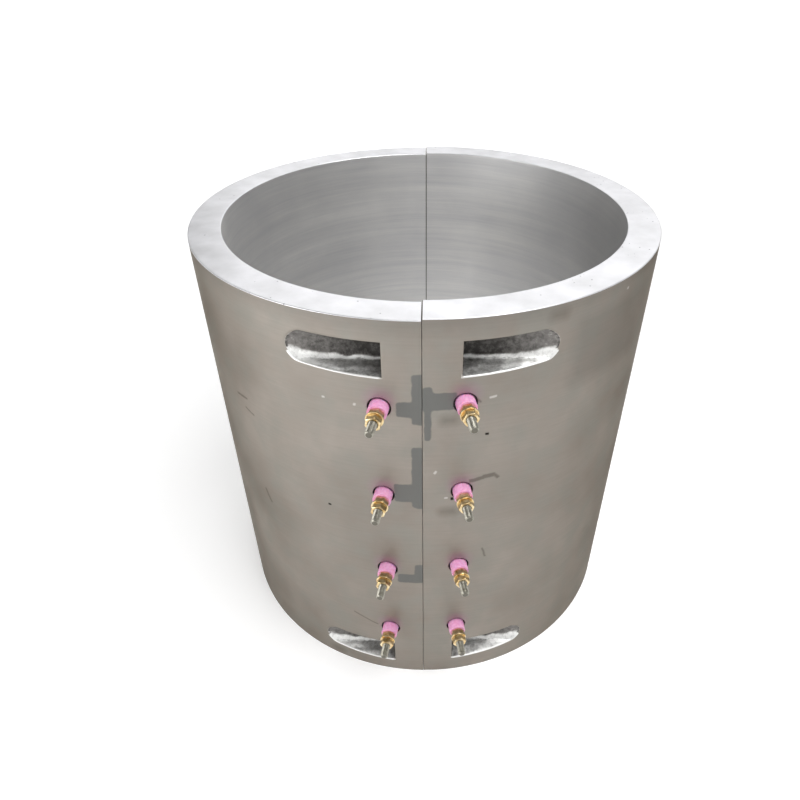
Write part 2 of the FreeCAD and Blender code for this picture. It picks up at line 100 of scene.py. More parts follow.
# %% Sizes from the drawing
LUG = HALF_GAP + 20.2            # split plane to the pocket's flat end
POCKET_HEIGHT = 20.8             # pocket at its mouth
SHELF_RISE = 2.4                 # draft of the pocket's lower wall
CREASE_METAL = 4.4               # metal behind the crease
CROWN_METAL = 5.6                # metal behind the top of the floor
FLOOR_RADIUS = 14.5              # hollow floor
POCKET_MIDDLES = {"left": (21.6, HEIGHT["left"] - 23.6),
                  "right": (24.6, HEIGHT["right"] - 23.6)}
TERMINAL_HOLE = 6.5              # radius of the hole round a terminal
TERMINAL_FLOOR = OUTSIDE - 2.2   # radius at which the tube's end lies
TUBE_RADIUS = 5.0                # channel of the heating tube
RIM_ROUND = 0.45                 # rounded edges of the rings
BORE_ROUND = 0.5                 # rounded edges of the bore
SPLIT_FACE = 0.12                # split plane to the split face's edge
SPLIT_ROUND = 0.25               # rounded edges of the split faces
MOUTH_ROUND = 0.8                # rounded edge of a pocket's mouth
TOUCH = 0.01                     # split plane to the ridge where the halves touch
TOUCH_DEPTH = 5.0                # edge of the split face to that ridge
HOLE_ROUND = 0.35                # rounded edges of screw and terminal holes
BLOCK = 9.6                      # half height of the wall's block round a terminal
BLOCK_ARC = 10.5                 # half width of that block
BLOCK_STEPS = 8
ROW = 2.6                        # height of the wall's plain rows
EDGE_ROW = 0.5                   # row beside a rounded edge

# %% [markdown]
# ## Welding patches into one casting
# A casting has a round wall, flat rims, pockets and holes, and no single grid covers
# them all. A patchwork does: each region is its own grid of points, neighbours share
# the same points along their common edge, and one weld at the end closes the skin.
# Modelling by hand would use booleans, but their edges come out ragged and can't be
# rounded evenly. Here every edge gets its own narrow strip of rounded faces.


# %% Patchwork
class Patchwork:
    """Collects patches of points and faces, each with the number of its finish. Shine is one
    number for each point, from 0 to 1, for a finish that changes along a patch: in the pockets and
    along their mouths it carries painted light and shade."""

    def __init__(self):
        self.points, self.shines = [], []
        self.faces, self.finishes, self.flat = [], [], []
        self.count = 0

    def grid(self, points, finish, keep=None, flip=False, shine=0.0):
        """Four-sided faces between neighbours of a grid of points (rows, columns, 3).
        keep is a mask of the cells that stay."""
        rows, columns = points.shape[:2]
        number = self.count + np.arange(rows * columns).reshape(rows, columns)
        cells = np.stack([number[:-1, :-1], number[:-1, 1:], number[1:, 1:],
                          number[1:, :-1]], axis=-1)
        cells = cells[keep] if keep is not None else cells.reshape(-1, 4)
        self.add(points.reshape(-1, 3), cells[:, ::-1] if flip else cells, finish, False,
                 shine)

    def fill(self, outline, holes, normal, finish):
        """Triangles over a flat outline with holes, facing along normal."""
        loops = [[Vector(point) for point in loop] for loop in [outline, *holes]]
        points = np.concatenate([outline, *holes])
        cells = np.array(tessellate_polygon(loops))
        corner, second, third = (points[cells[:, index]] for index in range(3))
        facing = np.cross(second - corner, third - corner).sum(axis=0) @ np.asarray(normal)
        self.add(points, (cells if facing > 0 else cells[:, ::-1]) + self.count, finish,
                 True)

    def add(self, points, cells, finish, flat, shine=0.0):
        self.points.append(points)
        self.shines.append(np.zeros(len(points)) + np.ravel(shine))
        self.faces += cells.tolist()
        self.finishes += [finish] * len(cells)
        self.flat += [flat] * len(cells)
        self.count += len(points)

    def mesh(self, name, mirrored=False):
        """The welded mesh, in metres. A mirrored one has its faces turned round."""
        points = np.concatenate(self.points) * MM
        if mirrored:
            points = points * (-1, 1, 1)
        faces = [face[::-1] for face in self.faces] if mirrored else self.faces
        mesh = bpy.data.meshes.new(name)
        mesh.from_pydata(points, [], faces)
        mesh.polygons.foreach_set("material_index", self.finishes)
        mesh.polygons.foreach_set("use_smooth", [not flat for flat in self.flat])
        shine = mesh.attributes.new("shine", "FLOAT", "POINT")
        shine.data.foreach_set("value", np.concatenate(self.shines))
        return weld(mesh)


def weld(mesh, reach=2e-6):
    """Merges points that coincide, and drops faces that shrank to nothing."""
    work = bmesh.new()
    work.from_mesh(mesh)
    bmesh.ops.remove_doubles(work, verts=work.verts, dist=reach)
    bmesh.ops.dissolve_degenerate(work, edges=work.edges, dist=1e-7)
    loose = [vertex for vertex in work.verts if not vertex.link_faces]
    bmesh.ops.delete(work, geom=loose, context="VERTS")
    work.to_mesh(mesh)
    work.free()
    return mesh


def stand(mesh, sharp=35.0):
    """Puts a mesh into the scene as an object at the origin. Edges that turn by more
    than the sharp angle stay crisp."""
    mesh.set_sharp_from_angle(angle=math.radians(sharp))
    piece = bpy.data.objects.new(mesh.name, mesh)
    bpy.context.scene.collection.objects.link(piece)
    return piece


def rounding(start, corner, end, steps=5):
    """A rounded edge: the quadratic Bezier curve from start to end that leans on the
    sharp corner, for whole loops of points at once. Gives (steps + 1, points, 3)."""
    share = np.linspace(0, 1, steps + 1)[:, None, None]
    return (1 - share) ** 2 * start + 2 * share * (1 - share) * corner + share ** 2 * end


# %% [markdown]
# ## The bolt pocket's section
# A clamping screw needs room for its head, so each casting has a pocket beside the
# split: a drafted lower wall like a shelf, a crease, a hollow floor and a level roof.
# It is one section carried sideways, away from the split, until it runs out through
# the round wall. So the section is drawn once, as a curve with its length as parameter,
# and both the pocket and the outline of its mouth are worked out from that curve.


# %% Section curve
ARC_POINTS, SECTION_POINTS = 400, 1200
CREASE_SOFTNESS = 18             # reach of a corner's round, in points of the section


def hollow_arc(start, end, radius, bulge, steps):
    """Circular arc between two points, bulging to the side of the bulge vector."""
    chord = end - start
    half = np.linalg.norm(chord) / 2
    across = np.array([chord[1], -chord[0]]) / (2 * half)
    across *= np.sign(across @ bulge)
    centre = (start + end) / 2 - across * math.sqrt(radius ** 2 - half ** 2)
    reach = math.asin(half / radius)
    turn = np.linspace(-reach, reach, steps)[:, None]
    return centre + radius * (np.cos(turn) * across + np.sin(turn) * chord / (2 * half))


def soften(curve, reach, passes):
    """Smooths a dense curve by running means, so that its corners get a round of about
    the reach in points. The two ends stay."""
    for _ in range(passes):
        padded = np.pad(curve, ((reach, reach), (0, 0)), mode="reflect",
                        reflect_type="odd")
        total = np.cumsum(np.vstack([np.zeros((1, 2)), padded]), axis=0)
        curve = (total[2 * reach + 1:] - total[:-2 * reach - 1]) / (2 * reach + 1)
    return curve


def pocket_section(middle):
    """Points (distance from the bore's axis, height) along the section, evenly spaced,
    from the mouth's lower corner at the flat end to the upper one, with its length and
    the length at which the crease lies."""
    low, high = middle - POCKET_HEIGHT / 2, middle + POCKET_HEIGHT / 2
    crease = np.array([BORE + CREASE_METAL, low + SHELF_RISE])
    crown = np.array([BORE + CROWN_METAL, high])
    corner = math.sqrt(OUTSIDE ** 2 - LUG ** 2)
    slope = SHELF_RISE / (OUTSIDE - crease[0])
    foot = np.array([corner, low + slope * (OUTSIDE - corner)])
    floor = hollow_arc(crease, crown, FLOOR_RADIUS, np.array([-1.0, 0.0]), ARC_POINTS)
    rough = np.vstack([foot, floor, [corner, high]])
    length = np.append(0, np.cumsum(np.linalg.norm(np.diff(rough, axis=0), axis=1)))
    even = np.linspace(0, length[-1], SECTION_POINTS)
    curve = np.column_stack([np.interp(even, length, rough[:, axis]) for axis in (0, 1)])
    return soften(curve, CREASE_SOFTNESS, 2), length[-1], length[1]


# The crease lies at the same length in every pocket.
section, section_length, CREASE_AT = pocket_section(POCKET_MIDDLES["right"][0])
print("pocket section %.1f mm long, crease at %.1f mm, reaches %.1f mm from the axis"
      % (section_length, CREASE_AT, section[:, 0].min()))

# %% [markdown]
# ## The mouth of a pocket
# Where the carried section meets the round wall, its distance from the axis and its
# reach along x obey x squared plus depth squared equals radius squared. That gives the
# mouth's outline without any cutting. The outline has a lower and an upper branch that
# meet at a rounded tip. Both are sampled at the same reaches, so the wall's upright grid
# lines can end on the lower branch and start again on the upper one.


# %% Mouth outline
MOUTH_STEPS = 46                 # from the flat end to the tip


def mouth_outline(middle):
    """Reach x and length along the section for the mouth's points: the lower branch out
    to the tip and the upper branch back. The steps grow shorter towards the tip."""
    curve, total, _ = pocket_section(middle)
    along = np.linspace(0, total, len(curve))
    tip = int(np.argmin(curve[:, 0]))
    reach_tip = math.sqrt(OUTSIDE ** 2 - curve[tip, 0] ** 2)
    share = np.linspace(1, 0, MOUTH_STEPS + 1)
    reach = reach_tip - (reach_tip - LUG) * (0.25 * share + 0.75 * share ** 2)
    depth = np.sqrt(OUTSIDE ** 2 - reach ** 2)
    lower = np.interp(-depth, -curve[:tip + 1, 0], along[:tip + 1])
    upper = np.interp(depth, curve[tip:, 0], along[tip:])
    lower[0], upper[0] = 0.0, total
    lower[-1] = upper[-1] = along[tip]
    return reach, lower, upper, curve, along


reach, lower, upper, curve, along = mouth_outline(POCKET_MIDDLES["right"][0])
print("mouth runs from %.1f to %.1f mm beside the split" % (reach[0], reach[-1]))


def on_section(curve, along, length):
    """Distance from the axis and height at a length along the section."""
    return (np.interp(length, along, curve[:, 0]), np.interp(length, along, curve[:, 1]))


# %% [markdown]
# ## The round wall
# The outer wall is a grid of angle by height on a cylinder. Its lines are pulled
# towards the mouths: each grid point moves by what its column needs at the mouth, times
# a weight that fades with the distance from it. Cells inside a mouth are left out, and
# so are blocks of cells where a terminal comes through. Points never leave the cylinder,
# so the wall stays truly round however the grid bends.


# %% Grid of the wall
LUG_STEPS, SIDE_STEPS = 13, 34   # columns before a mouth, and past it
BAND_STEPS = 10                  # rows beside a mouth
FADE = 34.0                      # reach of a mouth's pull on the grid


def wall_columns(reach):
    """Arc lengths from the front split to the side: even ones, and those at the level
    of a mouth. Also the first and last column of the mouth. Past it, the columns grow
    wider towards the side."""
    start = OUTSIDE * math.asin((SPLIT_FACE + SPLIT_ROUND) / OUTSIDE)
    first = OUTSIDE * math.asin(LUG / OUTSIDE)
    tip = OUTSIDE * math.asin(reach[-1] / OUTSIDE)
    side = OUTSIDE * math.pi / 2
    before = np.linspace(start, first, LUG_STEPS)[:-1]
    beyond = tip + (side - tip) * np.linspace(0, 1, SIDE_STEPS + 1)[1:] ** 1.15
    even = np.concatenate([before, np.linspace(first, tip, MOUTH_STEPS + 1), beyond])
    mouth = np.concatenate([before, OUTSIDE * np.arcsin(reach / OUTSIDE), beyond])
    return even, mouth, LUG_STEPS - 1, LUG_STEPS - 1 + MOUTH_STEPS


def wall_rows(name):
    """Heights of the wall's rows at the lug, with the rows that bound each pocket and
    each terminal's block."""
    height = HEIGHT[name]
    marks = [RIM_ROUND, RIM_ROUND + EDGE_ROW]
    steps = [1]
    bands, blocks, stops = [], [], []
    for middle in POCKET_MIDDLES[name]:
        outline = pocket_section(middle)[0]
        stops.append((outline[0, 1], outline[-1, 1], "pocket"))
    for level in terminal_levels(name):
        stops.append((level - BLOCK, level + BLOCK, "terminal"))
    for low, high, kind in sorted(stops):
        gap = low - marks[-1]
        steps.append(max(2, round(gap / ROW)))
        marks.append(low)
        row = sum(steps)
        steps.append(BAND_STEPS if kind == "pocket" else BLOCK_STEPS)
        marks.append(high)
        (bands if kind == "pocket" else blocks).append((row, sum(steps)))
    last = height - RIM_ROUND - EDGE_ROW
    steps += [max(2, round((last - marks[-1]) / ROW)), 1]
    marks += [last, height - RIM_ROUND]
    rows = [np.linspace(a, b, n, endpoint=False) for a, b, n in zip(marks, marks[1:], steps)]
    return np.append(np.concatenate(rows), marks[-1]), bands, blocks


def fade(distance, reach):
    """Weight that falls from 1 to 0 over the reach, level at its far end."""
    share = np.clip(1 - np.abs(distance) / reach, 0, 1)
    return share * share * (1.5 - 0.5 * share)


def wall_grid(name):
    """Arc length and height of the wall's points (rows, columns), front quarter."""
    reach, lower, upper, curve, along = mouth_outline(POCKET_MIDDLES[name][0])
    even, mouth, first, tip = wall_columns(reach)
    levels, bands, blocks = wall_rows(name)
    base_low, base_high = curve[0, 1], curve[-1, 1]
    drop_low = np.zeros(len(even))
    drop_high = np.zeros(len(even))
    drop_low[first:tip + 1] = on_section(curve, along, lower)[1] - base_low
    drop_high[first:tip + 1] = on_section(curve, along, upper)[1] - base_high
    beyond = np.clip(1 - (even[tip:] - even[tip]) / FADE, 0, 1)
    drop_low[tip:] = drop_low[tip] * beyond
    drop_high[tip:] = drop_high[tip] * beyond
    arcs = np.tile(even, (len(levels), 1))
    heights = np.tile(levels[:, None], (1, len(even)))
    limits = [0] + [row for band in bands for row in band] + [len(levels) - 1]
    for index, (low, high) in enumerate(bands):
        under = levels[low] - levels[limits[2 * index]]
        over = levels[limits[2 * index + 3]] - levels[high]
        below = fade(levels[:low] - levels[low], min(under, FADE))[:, None]
        above = fade(levels[high:] - levels[high], min(over, FADE))[:, None]
        share = np.linspace(0, 1, high - low + 1)[:-1, None]
        heights[:low] += below * drop_low
        heights[low:high] += (1 - share) * drop_low + share * drop_high
        heights[high:] += above * drop_high
        arcs[:low] += below * (mouth - even)
        arcs[low:high] += mouth - even
        arcs[high:] += above * (mouth - even)
    return arcs, heights, bands, blocks, first, tip


arcs, heights, bands, blocks, first, tip = wall_grid("right")
print("wall grid", arcs.shape, "pocket rows", bands, "terminal rows", blocks)


def on_wall(arc, height, radius=OUTSIDE):
    """Points on the cylinder at arc lengths from the front split: the angle is the arc
    by the outside radius, x its sine and y its negative cosine times the radius."""
    turn = arc / OUTSIDE
    return np.stack([radius * np.sin(turn), -radius * np.cos(turn),
                     height + 0 * turn], axis=-1)


# %% [markdown]
# ## Mouth edges and the inside of a pocket
# The real mouth has a broken edge that catches a thin line of light, so both surfaces
# stop short of the sharp outline and a rounded strip joins them. On the wall the points
# move away from the opening, in the pocket they move inward, and the strip leans on
# the sharp edge between them. The skin inside was never machined, so it also gets small
# hollows and ripples as real shape, which fade out towards its borders.


# %% Outline of a mouth, three times over
SATIN, RIM, TURNED, CAST, SPLIT = range(5)
POCKET_COLUMNS = 34              # from the flat end to the mouth
CAST_RELIEF = 0.35               # weight of the cast skin's height
WAVES, SHORTEST, LONGEST = 14, 4.0, 14.0


def unit(vectors):
    """Vectors divided by their lengths."""
    return vectors / np.linalg.norm(vectors, axis=-1, keepdims=True)


def branch_normals(across, up):
    """Unit normals of an open curve in its plane, to the left of its direction."""
    tangent = unit(np.stack([np.gradient(across), np.gradient(up)], axis=-1))
    return np.stack([-tangent[:, 1], tangent[:, 0]], axis=-1)


def mouth_loops(arcs, heights, band, first, tip, middle):
    """The mouth as three loops of points: on the wall, on the sharp edge and in the
    pocket. Also the pocket's points as (reach, length along the section)."""
    reach, lower, upper, curve, along = mouth_outline(middle)
    low, high = band
    columns = np.arange(first, tip + 1)
    arc = np.concatenate([arcs[low, columns], arcs[high, columns[-2::-1]]])
    level = np.concatenate([heights[low, columns], heights[high, columns[-2::-1]]])
    outward = -branch_normals(arc, level)
    outward[0], outward[-1] = (-1, -1), (-1, 1)
    wall_arc = arc + MOUTH_ROUND * outward[:, 0]
    wall_level = level + MOUTH_ROUND * outward[:, 1]
    x = np.append(reach, reach[-2::-1])
    length = np.append(lower, upper[-2::-1])
    inward = branch_normals(x, length)
    x_in = np.maximum(x + MOUTH_ROUND * inward[:, 0], LUG)
    length_in = length + MOUTH_ROUND * inward[:, 1]
    x_in[0] = x_in[-1] = LUG
    length_in[0], length_in[-1] = MOUTH_ROUND, along[-1] - MOUTH_ROUND
    rows = np.arange(high - 1, low, -1)
    flat_arc, flat_level = arcs[rows, first], heights[rows, first]
    wall = np.concatenate([on_wall(wall_arc, wall_level),
                           on_wall(flat_arc - MOUTH_ROUND, flat_level)])
    sharp = np.concatenate([on_wall(arc, level), on_wall(flat_arc, flat_level)])
    depth, level_in = on_section(curve, along, length_in)
    inside = np.column_stack([x_in, -depth, level_in])
    flat_end = sharp[len(arc):] + (0, MOUTH_ROUND, 0)
    return wall, sharp, np.concatenate([inside, flat_end]), x_in, length_in, curve, along


def ripple(x, length, seed):
    """Cast skin: a sum of plane waves, the sine of the way along a seeded direction by
    the wave's length. About one millimetre high and low before it is weighted."""
    dice = np.random.default_rng(seed)
    total = np.zeros_like(x)
    for _ in range(WAVES):
        wave = dice.uniform(SHORTEST, LONGEST)
        turn = dice.uniform(0, math.pi)
        phase = dice.uniform(0, 2 * math.pi)
        total += np.sin(2 * math.pi * (x * math.cos(turn) + length * math.sin(turn)) / wave
                        + phase) * wave / LONGEST
    return total / 3.0


def pocket_inside(x_in, length_in, curve, along, seed):
    """Grid of the pocket's shelf, floor and roof: rows run along x from the flat end
    to the mouth. The cast skin's height is added along the section's normal. Gives the
    points and, for each, its length past the crease and its share of the way out."""
    total = along[-1]
    count = len(length_in)
    edge = np.linspace(0, 1, count)
    start = np.interp(length_in, [length_in[0], length_in[-1]],
                      [MOUTH_ROUND, total - MOUTH_ROUND])
    share = np.linspace(0, 1, POCKET_COLUMNS)[None, :]
    x = LUG + share * (x_in[:, None] - LUG)
    length = start[:, None] + share * (length_in[:, None] - start[:, None])
    depth, level = on_section(curve, along, length)
    tangent = unit(np.gradient(curve, axis=0))
    slope_depth = np.interp(length, along, tangent[:, 0])
    slope_level = np.interp(length, along, tangent[:, 1])
    fade_in = np.clip(share * 6, 0, 1) * np.clip((1 - share) * 7, 0, 1)
    fade_in = fade_in * np.clip(np.sin(math.pi * edge) * 2.2 - 0.25, 0, 1)[:, None]
    bump = ripple(x, length, seed) * fade_in * CAST_RELIEF
    points = np.stack([x, -(depth + bump * slope_level), level - bump * slope_depth],
                      axis=-1)
    past = length - CREASE_AT + 0.5 * ripple(x, length, seed + 50)
    return points, past, (x - LUG) / (x_in.max() - LUG)


def pocket_shine(past, out):
    """Painted light and shade of the pocket's skin: a painted highlight in a band beside the
    crease that widens on the way out, a shelf whose painted shade deep inside gives way to
    brightness towards the mouth, and a floor that is darkest deep inside and a little lighter
    towards the mouth."""
    band = np.exp(-((past - 1.0 - 2.2 * out ** 2) / (1.2 + 4.0 * out ** 3)) ** 4)
    shelf = np.clip(0.62 + 0.6 * out, 0, 1)
    floor = 0.02 + 0.38 * np.clip(out * 1.5 - 0.35, 0, 1)
    return np.maximum(band, np.where(past < 0, shelf, floor))


print("cast skin stands %.2f mm high and low" % CAST_RELIEF)

# %% [markdown]
# ## Screw holes and terminal holes
# A clamping screw passes through the lug, so its hole is a plain cylinder between the
# pocket's flat end and the split face. A terminal's hole is bored square to the wall,
# which is round. Looked at along the hole's own axis it is a true circle, so the grid
# is laid out in that view: rays go from the circle to the border of the block of cells
# that was left out, and each point is then dropped onto the cylinder.


# %% Holes
def circle(count=48):
    """Points on the unit circle, cosine and sine of even angles, closed at the end."""
    turn = np.linspace(0, 2 * math.pi, count + 1)
    return np.column_stack([np.cos(turn), np.sin(turn)])


def screw_hole(patches, back, level):
    """Cylinder through the lug with rounded ends, about the screw's axis."""
    sign = 1 if back else -1
    ring = circle()
    quarter = np.linspace(0, math.pi / 2, 4)
    bevel, slope = (HOLE_ROUND * (1 - wave(quarter)) for wave in (np.cos, np.sin))
    inset = 0.8                  # from a hole's end to its first plain ring
    straight = np.linspace(LUG - inset, TOUCH + inset, 8)
    along = np.concatenate([LUG - bevel, straight, TOUCH + bevel[::-1]])
    radius = SCREW_HOLE + np.concatenate([slope, straight * 0, slope[::-1]])
    points = np.empty((len(along), len(ring), 3))
    points[..., 0] = along[:, None]
    points[..., 1] = sign * SCREW_DEPTH + radius[:, None] * ring[:, 0]
    points[..., 2] = level + radius[:, None] * ring[:, 1]
    patches.grid(points, TURNED, flip=True)
    return [points[0, :-1], points[-1, :-1]]


def terminal_hole(patches, border_arc, border_level, level):
    """Wall round one terminal, its rounded edge, the bore, the flat bottom and the
    channel of the tube, from the block's border to the axis."""
    across = OUTSIDE * np.sin(border_arc / OUTSIDE - TERMINAL_ANGLE)
    up = border_level - level
    border = np.column_stack([across, up])
    rays = unit(border)
    edge = rays * (TERMINAL_HOLE + HOLE_ROUND)
    share = np.linspace(0, 1, 6)[:, None, None] ** 0.8
    flat = border + share * (edge - border)
    depth = np.sqrt(OUTSIDE ** 2 - flat[..., 0] ** 2)
    wall = seat(flat, depth, level)
    sharp_flat = rays * TERMINAL_HOLE
    sharp_depth = np.sqrt(OUTSIDE ** 2 - sharp_flat[:, 0] ** 2)
    strip = rounding(wall[-1], seat(sharp_flat, sharp_depth, level),
                     seat(sharp_flat, sharp_depth - HOLE_ROUND, level))
    hole, tube, floor = TERMINAL_HOLE, TUBE_RADIUS, TERMINAL_FLOOR
    # Radius and depth of each ring, from the hole's edge into the tube's channel.
    rings = [(hole, sharp_depth - HOLE_ROUND), (hole, (sharp_depth + floor) / 2),
             (hole, floor + 0.15), (hole - 0.2, floor), (tube + 0.2, floor),
             (tube, floor - 0.1), (tube, floor - 1.0), (tube - 0.2, floor - 1.2),
             (2.0, floor - 1.2), (0.0, floor - 1.2)]
    bore = np.stack([seat(rays * radius, depth + 0 * sharp_depth, level)
                     for radius, depth in rings])
    # The hole's bore and the tube's channel take the cast finish with no shine, its darkest
    # painted shade.
    for points, finish in ((wall, SATIN), (strip, SATIN), (bore, CAST)):
        patches.grid(points, finish, flip=True)


def seat(flat, depth, level):
    """Places points given across and up a terminal's hole, at a depth on its axis."""
    out = np.array([math.sin(TERMINAL_ANGLE), -math.cos(TERMINAL_ANGLE), 0])
    across = np.array([math.cos(TERMINAL_ANGLE), math.sin(TERMINAL_ANGLE), 0])
    points = flat[..., :1] * across + depth[..., None] * out
    points[..., 2] = level + flat[..., 1]
    return points


# %% [markdown]
# ## Rims, bore and split faces
# Past the wall, a casting's section is a rounded rectangle: over the top rim, down the
# bore, and back under the bottom rim. Turning that profile about the axis gives the rest
# of the ring. Both ends of the turn are the flat split faces, which are filled between
# the profile and the two screw holes.


# %% Profile
def corner_round(centre, radius, start, end, steps=5):
    """Quarter circle in the section plane, from one angle to another in degrees."""
    turn = np.radians(np.linspace(start, end, steps + 1))
    return np.column_stack([centre[0] + radius * np.cos(turn),
                            centre[1] + radius * np.sin(turn)])


def rim_profile(height):
    """Section from the top of the wall over the rim, down the bore and back to the
    bottom of the wall, with the finish of each stretch."""
    outer, inner = OUTSIDE - RIM_ROUND, BORE + BORE_ROUND
    across = np.linspace(outer - 0.4, inner + 0.4, 9)
    down = np.linspace(height - BORE_ROUND - 0.5, BORE_ROUND + 0.5, 40)
    stretches = [
        (corner_round((outer, height - RIM_ROUND), RIM_ROUND, 0, 90), RIM),
        (np.column_stack([across, across * 0 + height]), RIM),
        (corner_round((inner, height - BORE_ROUND), BORE_ROUND, 90, 180), RIM),
        (np.column_stack([down * 0 + BORE, down]), TURNED),
        (corner_round((inner, BORE_ROUND), BORE_ROUND, 180, 270), RIM),
        (np.column_stack([across[::-1], across * 0]), RIM),
        (corner_round((outer, RIM_ROUND), RIM_ROUND, 270, 360), RIM),
    ]
    points = np.vstack([stretch for stretch, finish in stretches])
    finishes = np.concatenate([[finish] * len(stretch) for stretch, finish in stretches])
    return points, finishes


def turned(profile, arcs):
    """Turns profile points (radius, height) through the wall's columns. The turn starts
    and ends on planes beside the split, so a smaller radius turns a little less."""
    radius = profile[:, :1]
    start = np.arcsin((SPLIT_FACE + SPLIT_ROUND) / radius)
    first, last = arcs[0] / OUTSIDE, arcs[-1] / OUTSIDE
    share = (arcs / OUTSIDE - first) / (last - first)
    turn = start + share[None, :] * (math.pi - 2 * start)
    return np.stack([radius * np.sin(turn), -radius * np.cos(turn),
                     profile[:, 1:] + 0 * turn], axis=-1)


def split_loops(loop, back):
    """The section's outline at a split: on the turned skin, on the sharp edge, set in
    on the flat face, and on the ridge in the middle where the halves touch. loop holds
    (radius, height) all the way round."""
    sign = 1 if back else -1
    tangent = unit(np.roll(loop, -1, axis=0) - np.roll(loop, 1, axis=0))
    inward = np.column_stack([-tangent[:, 1], tangent[:, 0]])
    inset = loop + SPLIT_ROUND * inward
    low, high = loop[:, 1].min(), loop[:, 1].max()
    ridge = np.column_stack([
        np.clip(loop[:, 0], BORE + TOUCH_DEPTH, OUTSIDE - TOUCH_DEPTH),
        np.clip(loop[:, 1], low + TOUCH_DEPTH, high - TOUCH_DEPTH)])
    stations = []
    for outline, x in ((loop, SPLIT_FACE + SPLIT_ROUND), (loop, SPLIT_FACE),
                       (inset, SPLIT_FACE), (ridge, TOUCH)):
        y = sign * np.sqrt(outline[:, 0] ** 2 - x ** 2)
        stations.append(np.column_stack([y * 0 + x, y, outline[:, 1]]))
    return stations


# %% A whole half casting
def mirror_back(points):
    """Points of the front split, at the back one: y changes its sign."""
    return points * (1, -1, 1)


def half_casting(name):
    """All patches of one half, drawn on the right-hand side."""
    patches = Patchwork()
    split_holes = {0: [], 1: []}
    arcs, heights, bands, blocks, first, tip = wall_grid(name)
    front = on_wall(arcs, heights)
    back = mirror_back(front)
    keep = np.ones((arcs.shape[0] - 1, arcs.shape[1] - 1), bool)
    for number, (band, middle) in enumerate(zip(bands, POCKET_MIDDLES[name])):
        keep[band[0]:band[1], first:tip] = False
        wall, sharp, inside, x_in, length_in, curve, along = mouth_loops(
            arcs, heights, band, first, tip, middle)
        strip = rounding(wall, sharp, inside)
        strip = np.concatenate([strip, strip[:, :1]], axis=1)
        # Painted highlight: the strip's points along the lower edge of the mouth get a shine of 1,
        # which whitens the satin skin there.
        painted_mouth_highlight = np.zeros(strip.shape[:2])
        painted_mouth_highlight[1:, :tip - first - 3] = 1.0
        rows = np.concatenate([np.full(tip - first + 1, band[0]),
                               np.full(tip - first, band[1]),
                               np.arange(band[1] - 1, band[0], -1)])
        columns = np.concatenate([np.arange(first, tip + 1),
                                  np.arange(tip - 1, first - 1, -1),
                                  np.full(band[1] - band[0] - 1, first)])
        for side, grid in ((0, front), (1, back)):
            seed = 11 + 2 * number + side + (10 if name == "left" else 0)
            floor, past, out = pocket_inside(x_in, length_in, curve, along, seed)
            outline = np.concatenate([floor[:, 0], inside[len(x_in):]])
            turn = mirror_back if side else (lambda points: points)
            grid[rows, columns] = turn(wall)
            grid[band[0]:band[1] + 1, tip] = turn(wall[tip - first])
            patches.grid(turn(strip), SATIN, flip=bool(side), shine=painted_mouth_highlight)
            patches.grid(turn(floor), CAST, flip=bool(side),
                         shine=pocket_shine(past, out))
            level = SCREW_HEIGHTS[number]
            ends = screw_hole(patches, side, level)
            patches.fill(turn(outline), [ends[0]], (1, 0, 0), CAST)
            split_holes[side].append(ends[1])
    keep_front = keep.copy()
    starts = np.searchsorted(arcs[0], OUTSIDE * TERMINAL_ANGLE + np.array([-BLOCK_ARC, BLOCK_ARC]))
    for (low, high), level in zip(blocks, terminal_levels(name)):
        left, right = int(starts[0]) - 1, int(starts[1])
        keep_front[low:high, left:right] = False
        row = np.concatenate([np.full(right - left, low), np.arange(low, high),
                              np.full(right - left, high), np.arange(high, low - 1, -1)])
        column = np.concatenate([np.arange(left, right), np.full(high - low, right),
                                 np.arange(right, left, -1),
                                 np.full(high - low + 1, left)])
        terminal_hole(patches, arcs[row, column], heights[row, column], level)
    patches.grid(front, SATIN, keep=keep_front)
    patches.grid(back, SATIN, keep=keep, flip=True)
    profile, finishes = rim_profile(HEIGHT[name])
    around = np.concatenate([arcs[0], OUTSIDE * math.pi - arcs[0][-2::-1]])
    skin = turned(profile, around)
    is_rim = (finishes[:-1] == RIM) & (finishes[1:] == RIM)
    for finish, chosen in ((RIM, is_rim), (TURNED, ~is_rim)):
        cells = np.repeat(chosen[:, None], len(around) - 1, axis=1)
        patches.grid(skin, finish, keep=cells)
    loop = np.vstack([np.column_stack([np.full(len(heights), OUTSIDE), heights[:, 0]]),
                      profile[1:-1]])
    for side in (0, 1):
        skin_loop, sharp_loop, face_loop, ridge_loop = split_loops(loop, side)
        edge = rounding(skin_loop, sharp_loop, face_loop, 3)
        patches.grid(np.concatenate([edge, edge[:, :1]], axis=1), SATIN, flip=not side)
        face = np.stack([face_loop, ridge_loop])
        patches.grid(np.concatenate([face, face[:, :1]], axis=1), SPLIT, flip=not side)
        kept = np.linalg.norm(ridge_loop - np.roll(ridge_loop, 1, axis=0), axis=1) > 1e-6
        patches.fill(ridge_loop[kept], split_holes[side], (-1, 0, 0), SPLIT)
    return patches


castings = {}
for name, sign in SIDES.items():
    mesh = half_casting(name).mesh("satin_%s_casting" % name, mirrored=sign < 0)
    castings[name] = stand(mesh)
    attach(castings[name], "root")
    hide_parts(name + "_half_casting")
    open_edges = len(mesh.edges) * 2 - len(mesh.loops)
    print(name, "casting", len(mesh.polygons), "faces, open edges", open_edges)

# %% [markdown]
# ## Reading a terminal from the frame
# Studs, nuts, washers and bushes stand on one slanted axis. Their construction solids
# are already in the right place, so their sizes and the turn of each nut are measured
# from those solids: every point is split into a part along the terminal's axis and a
# part across it. The finer pieces are then worked out in that slanted frame.


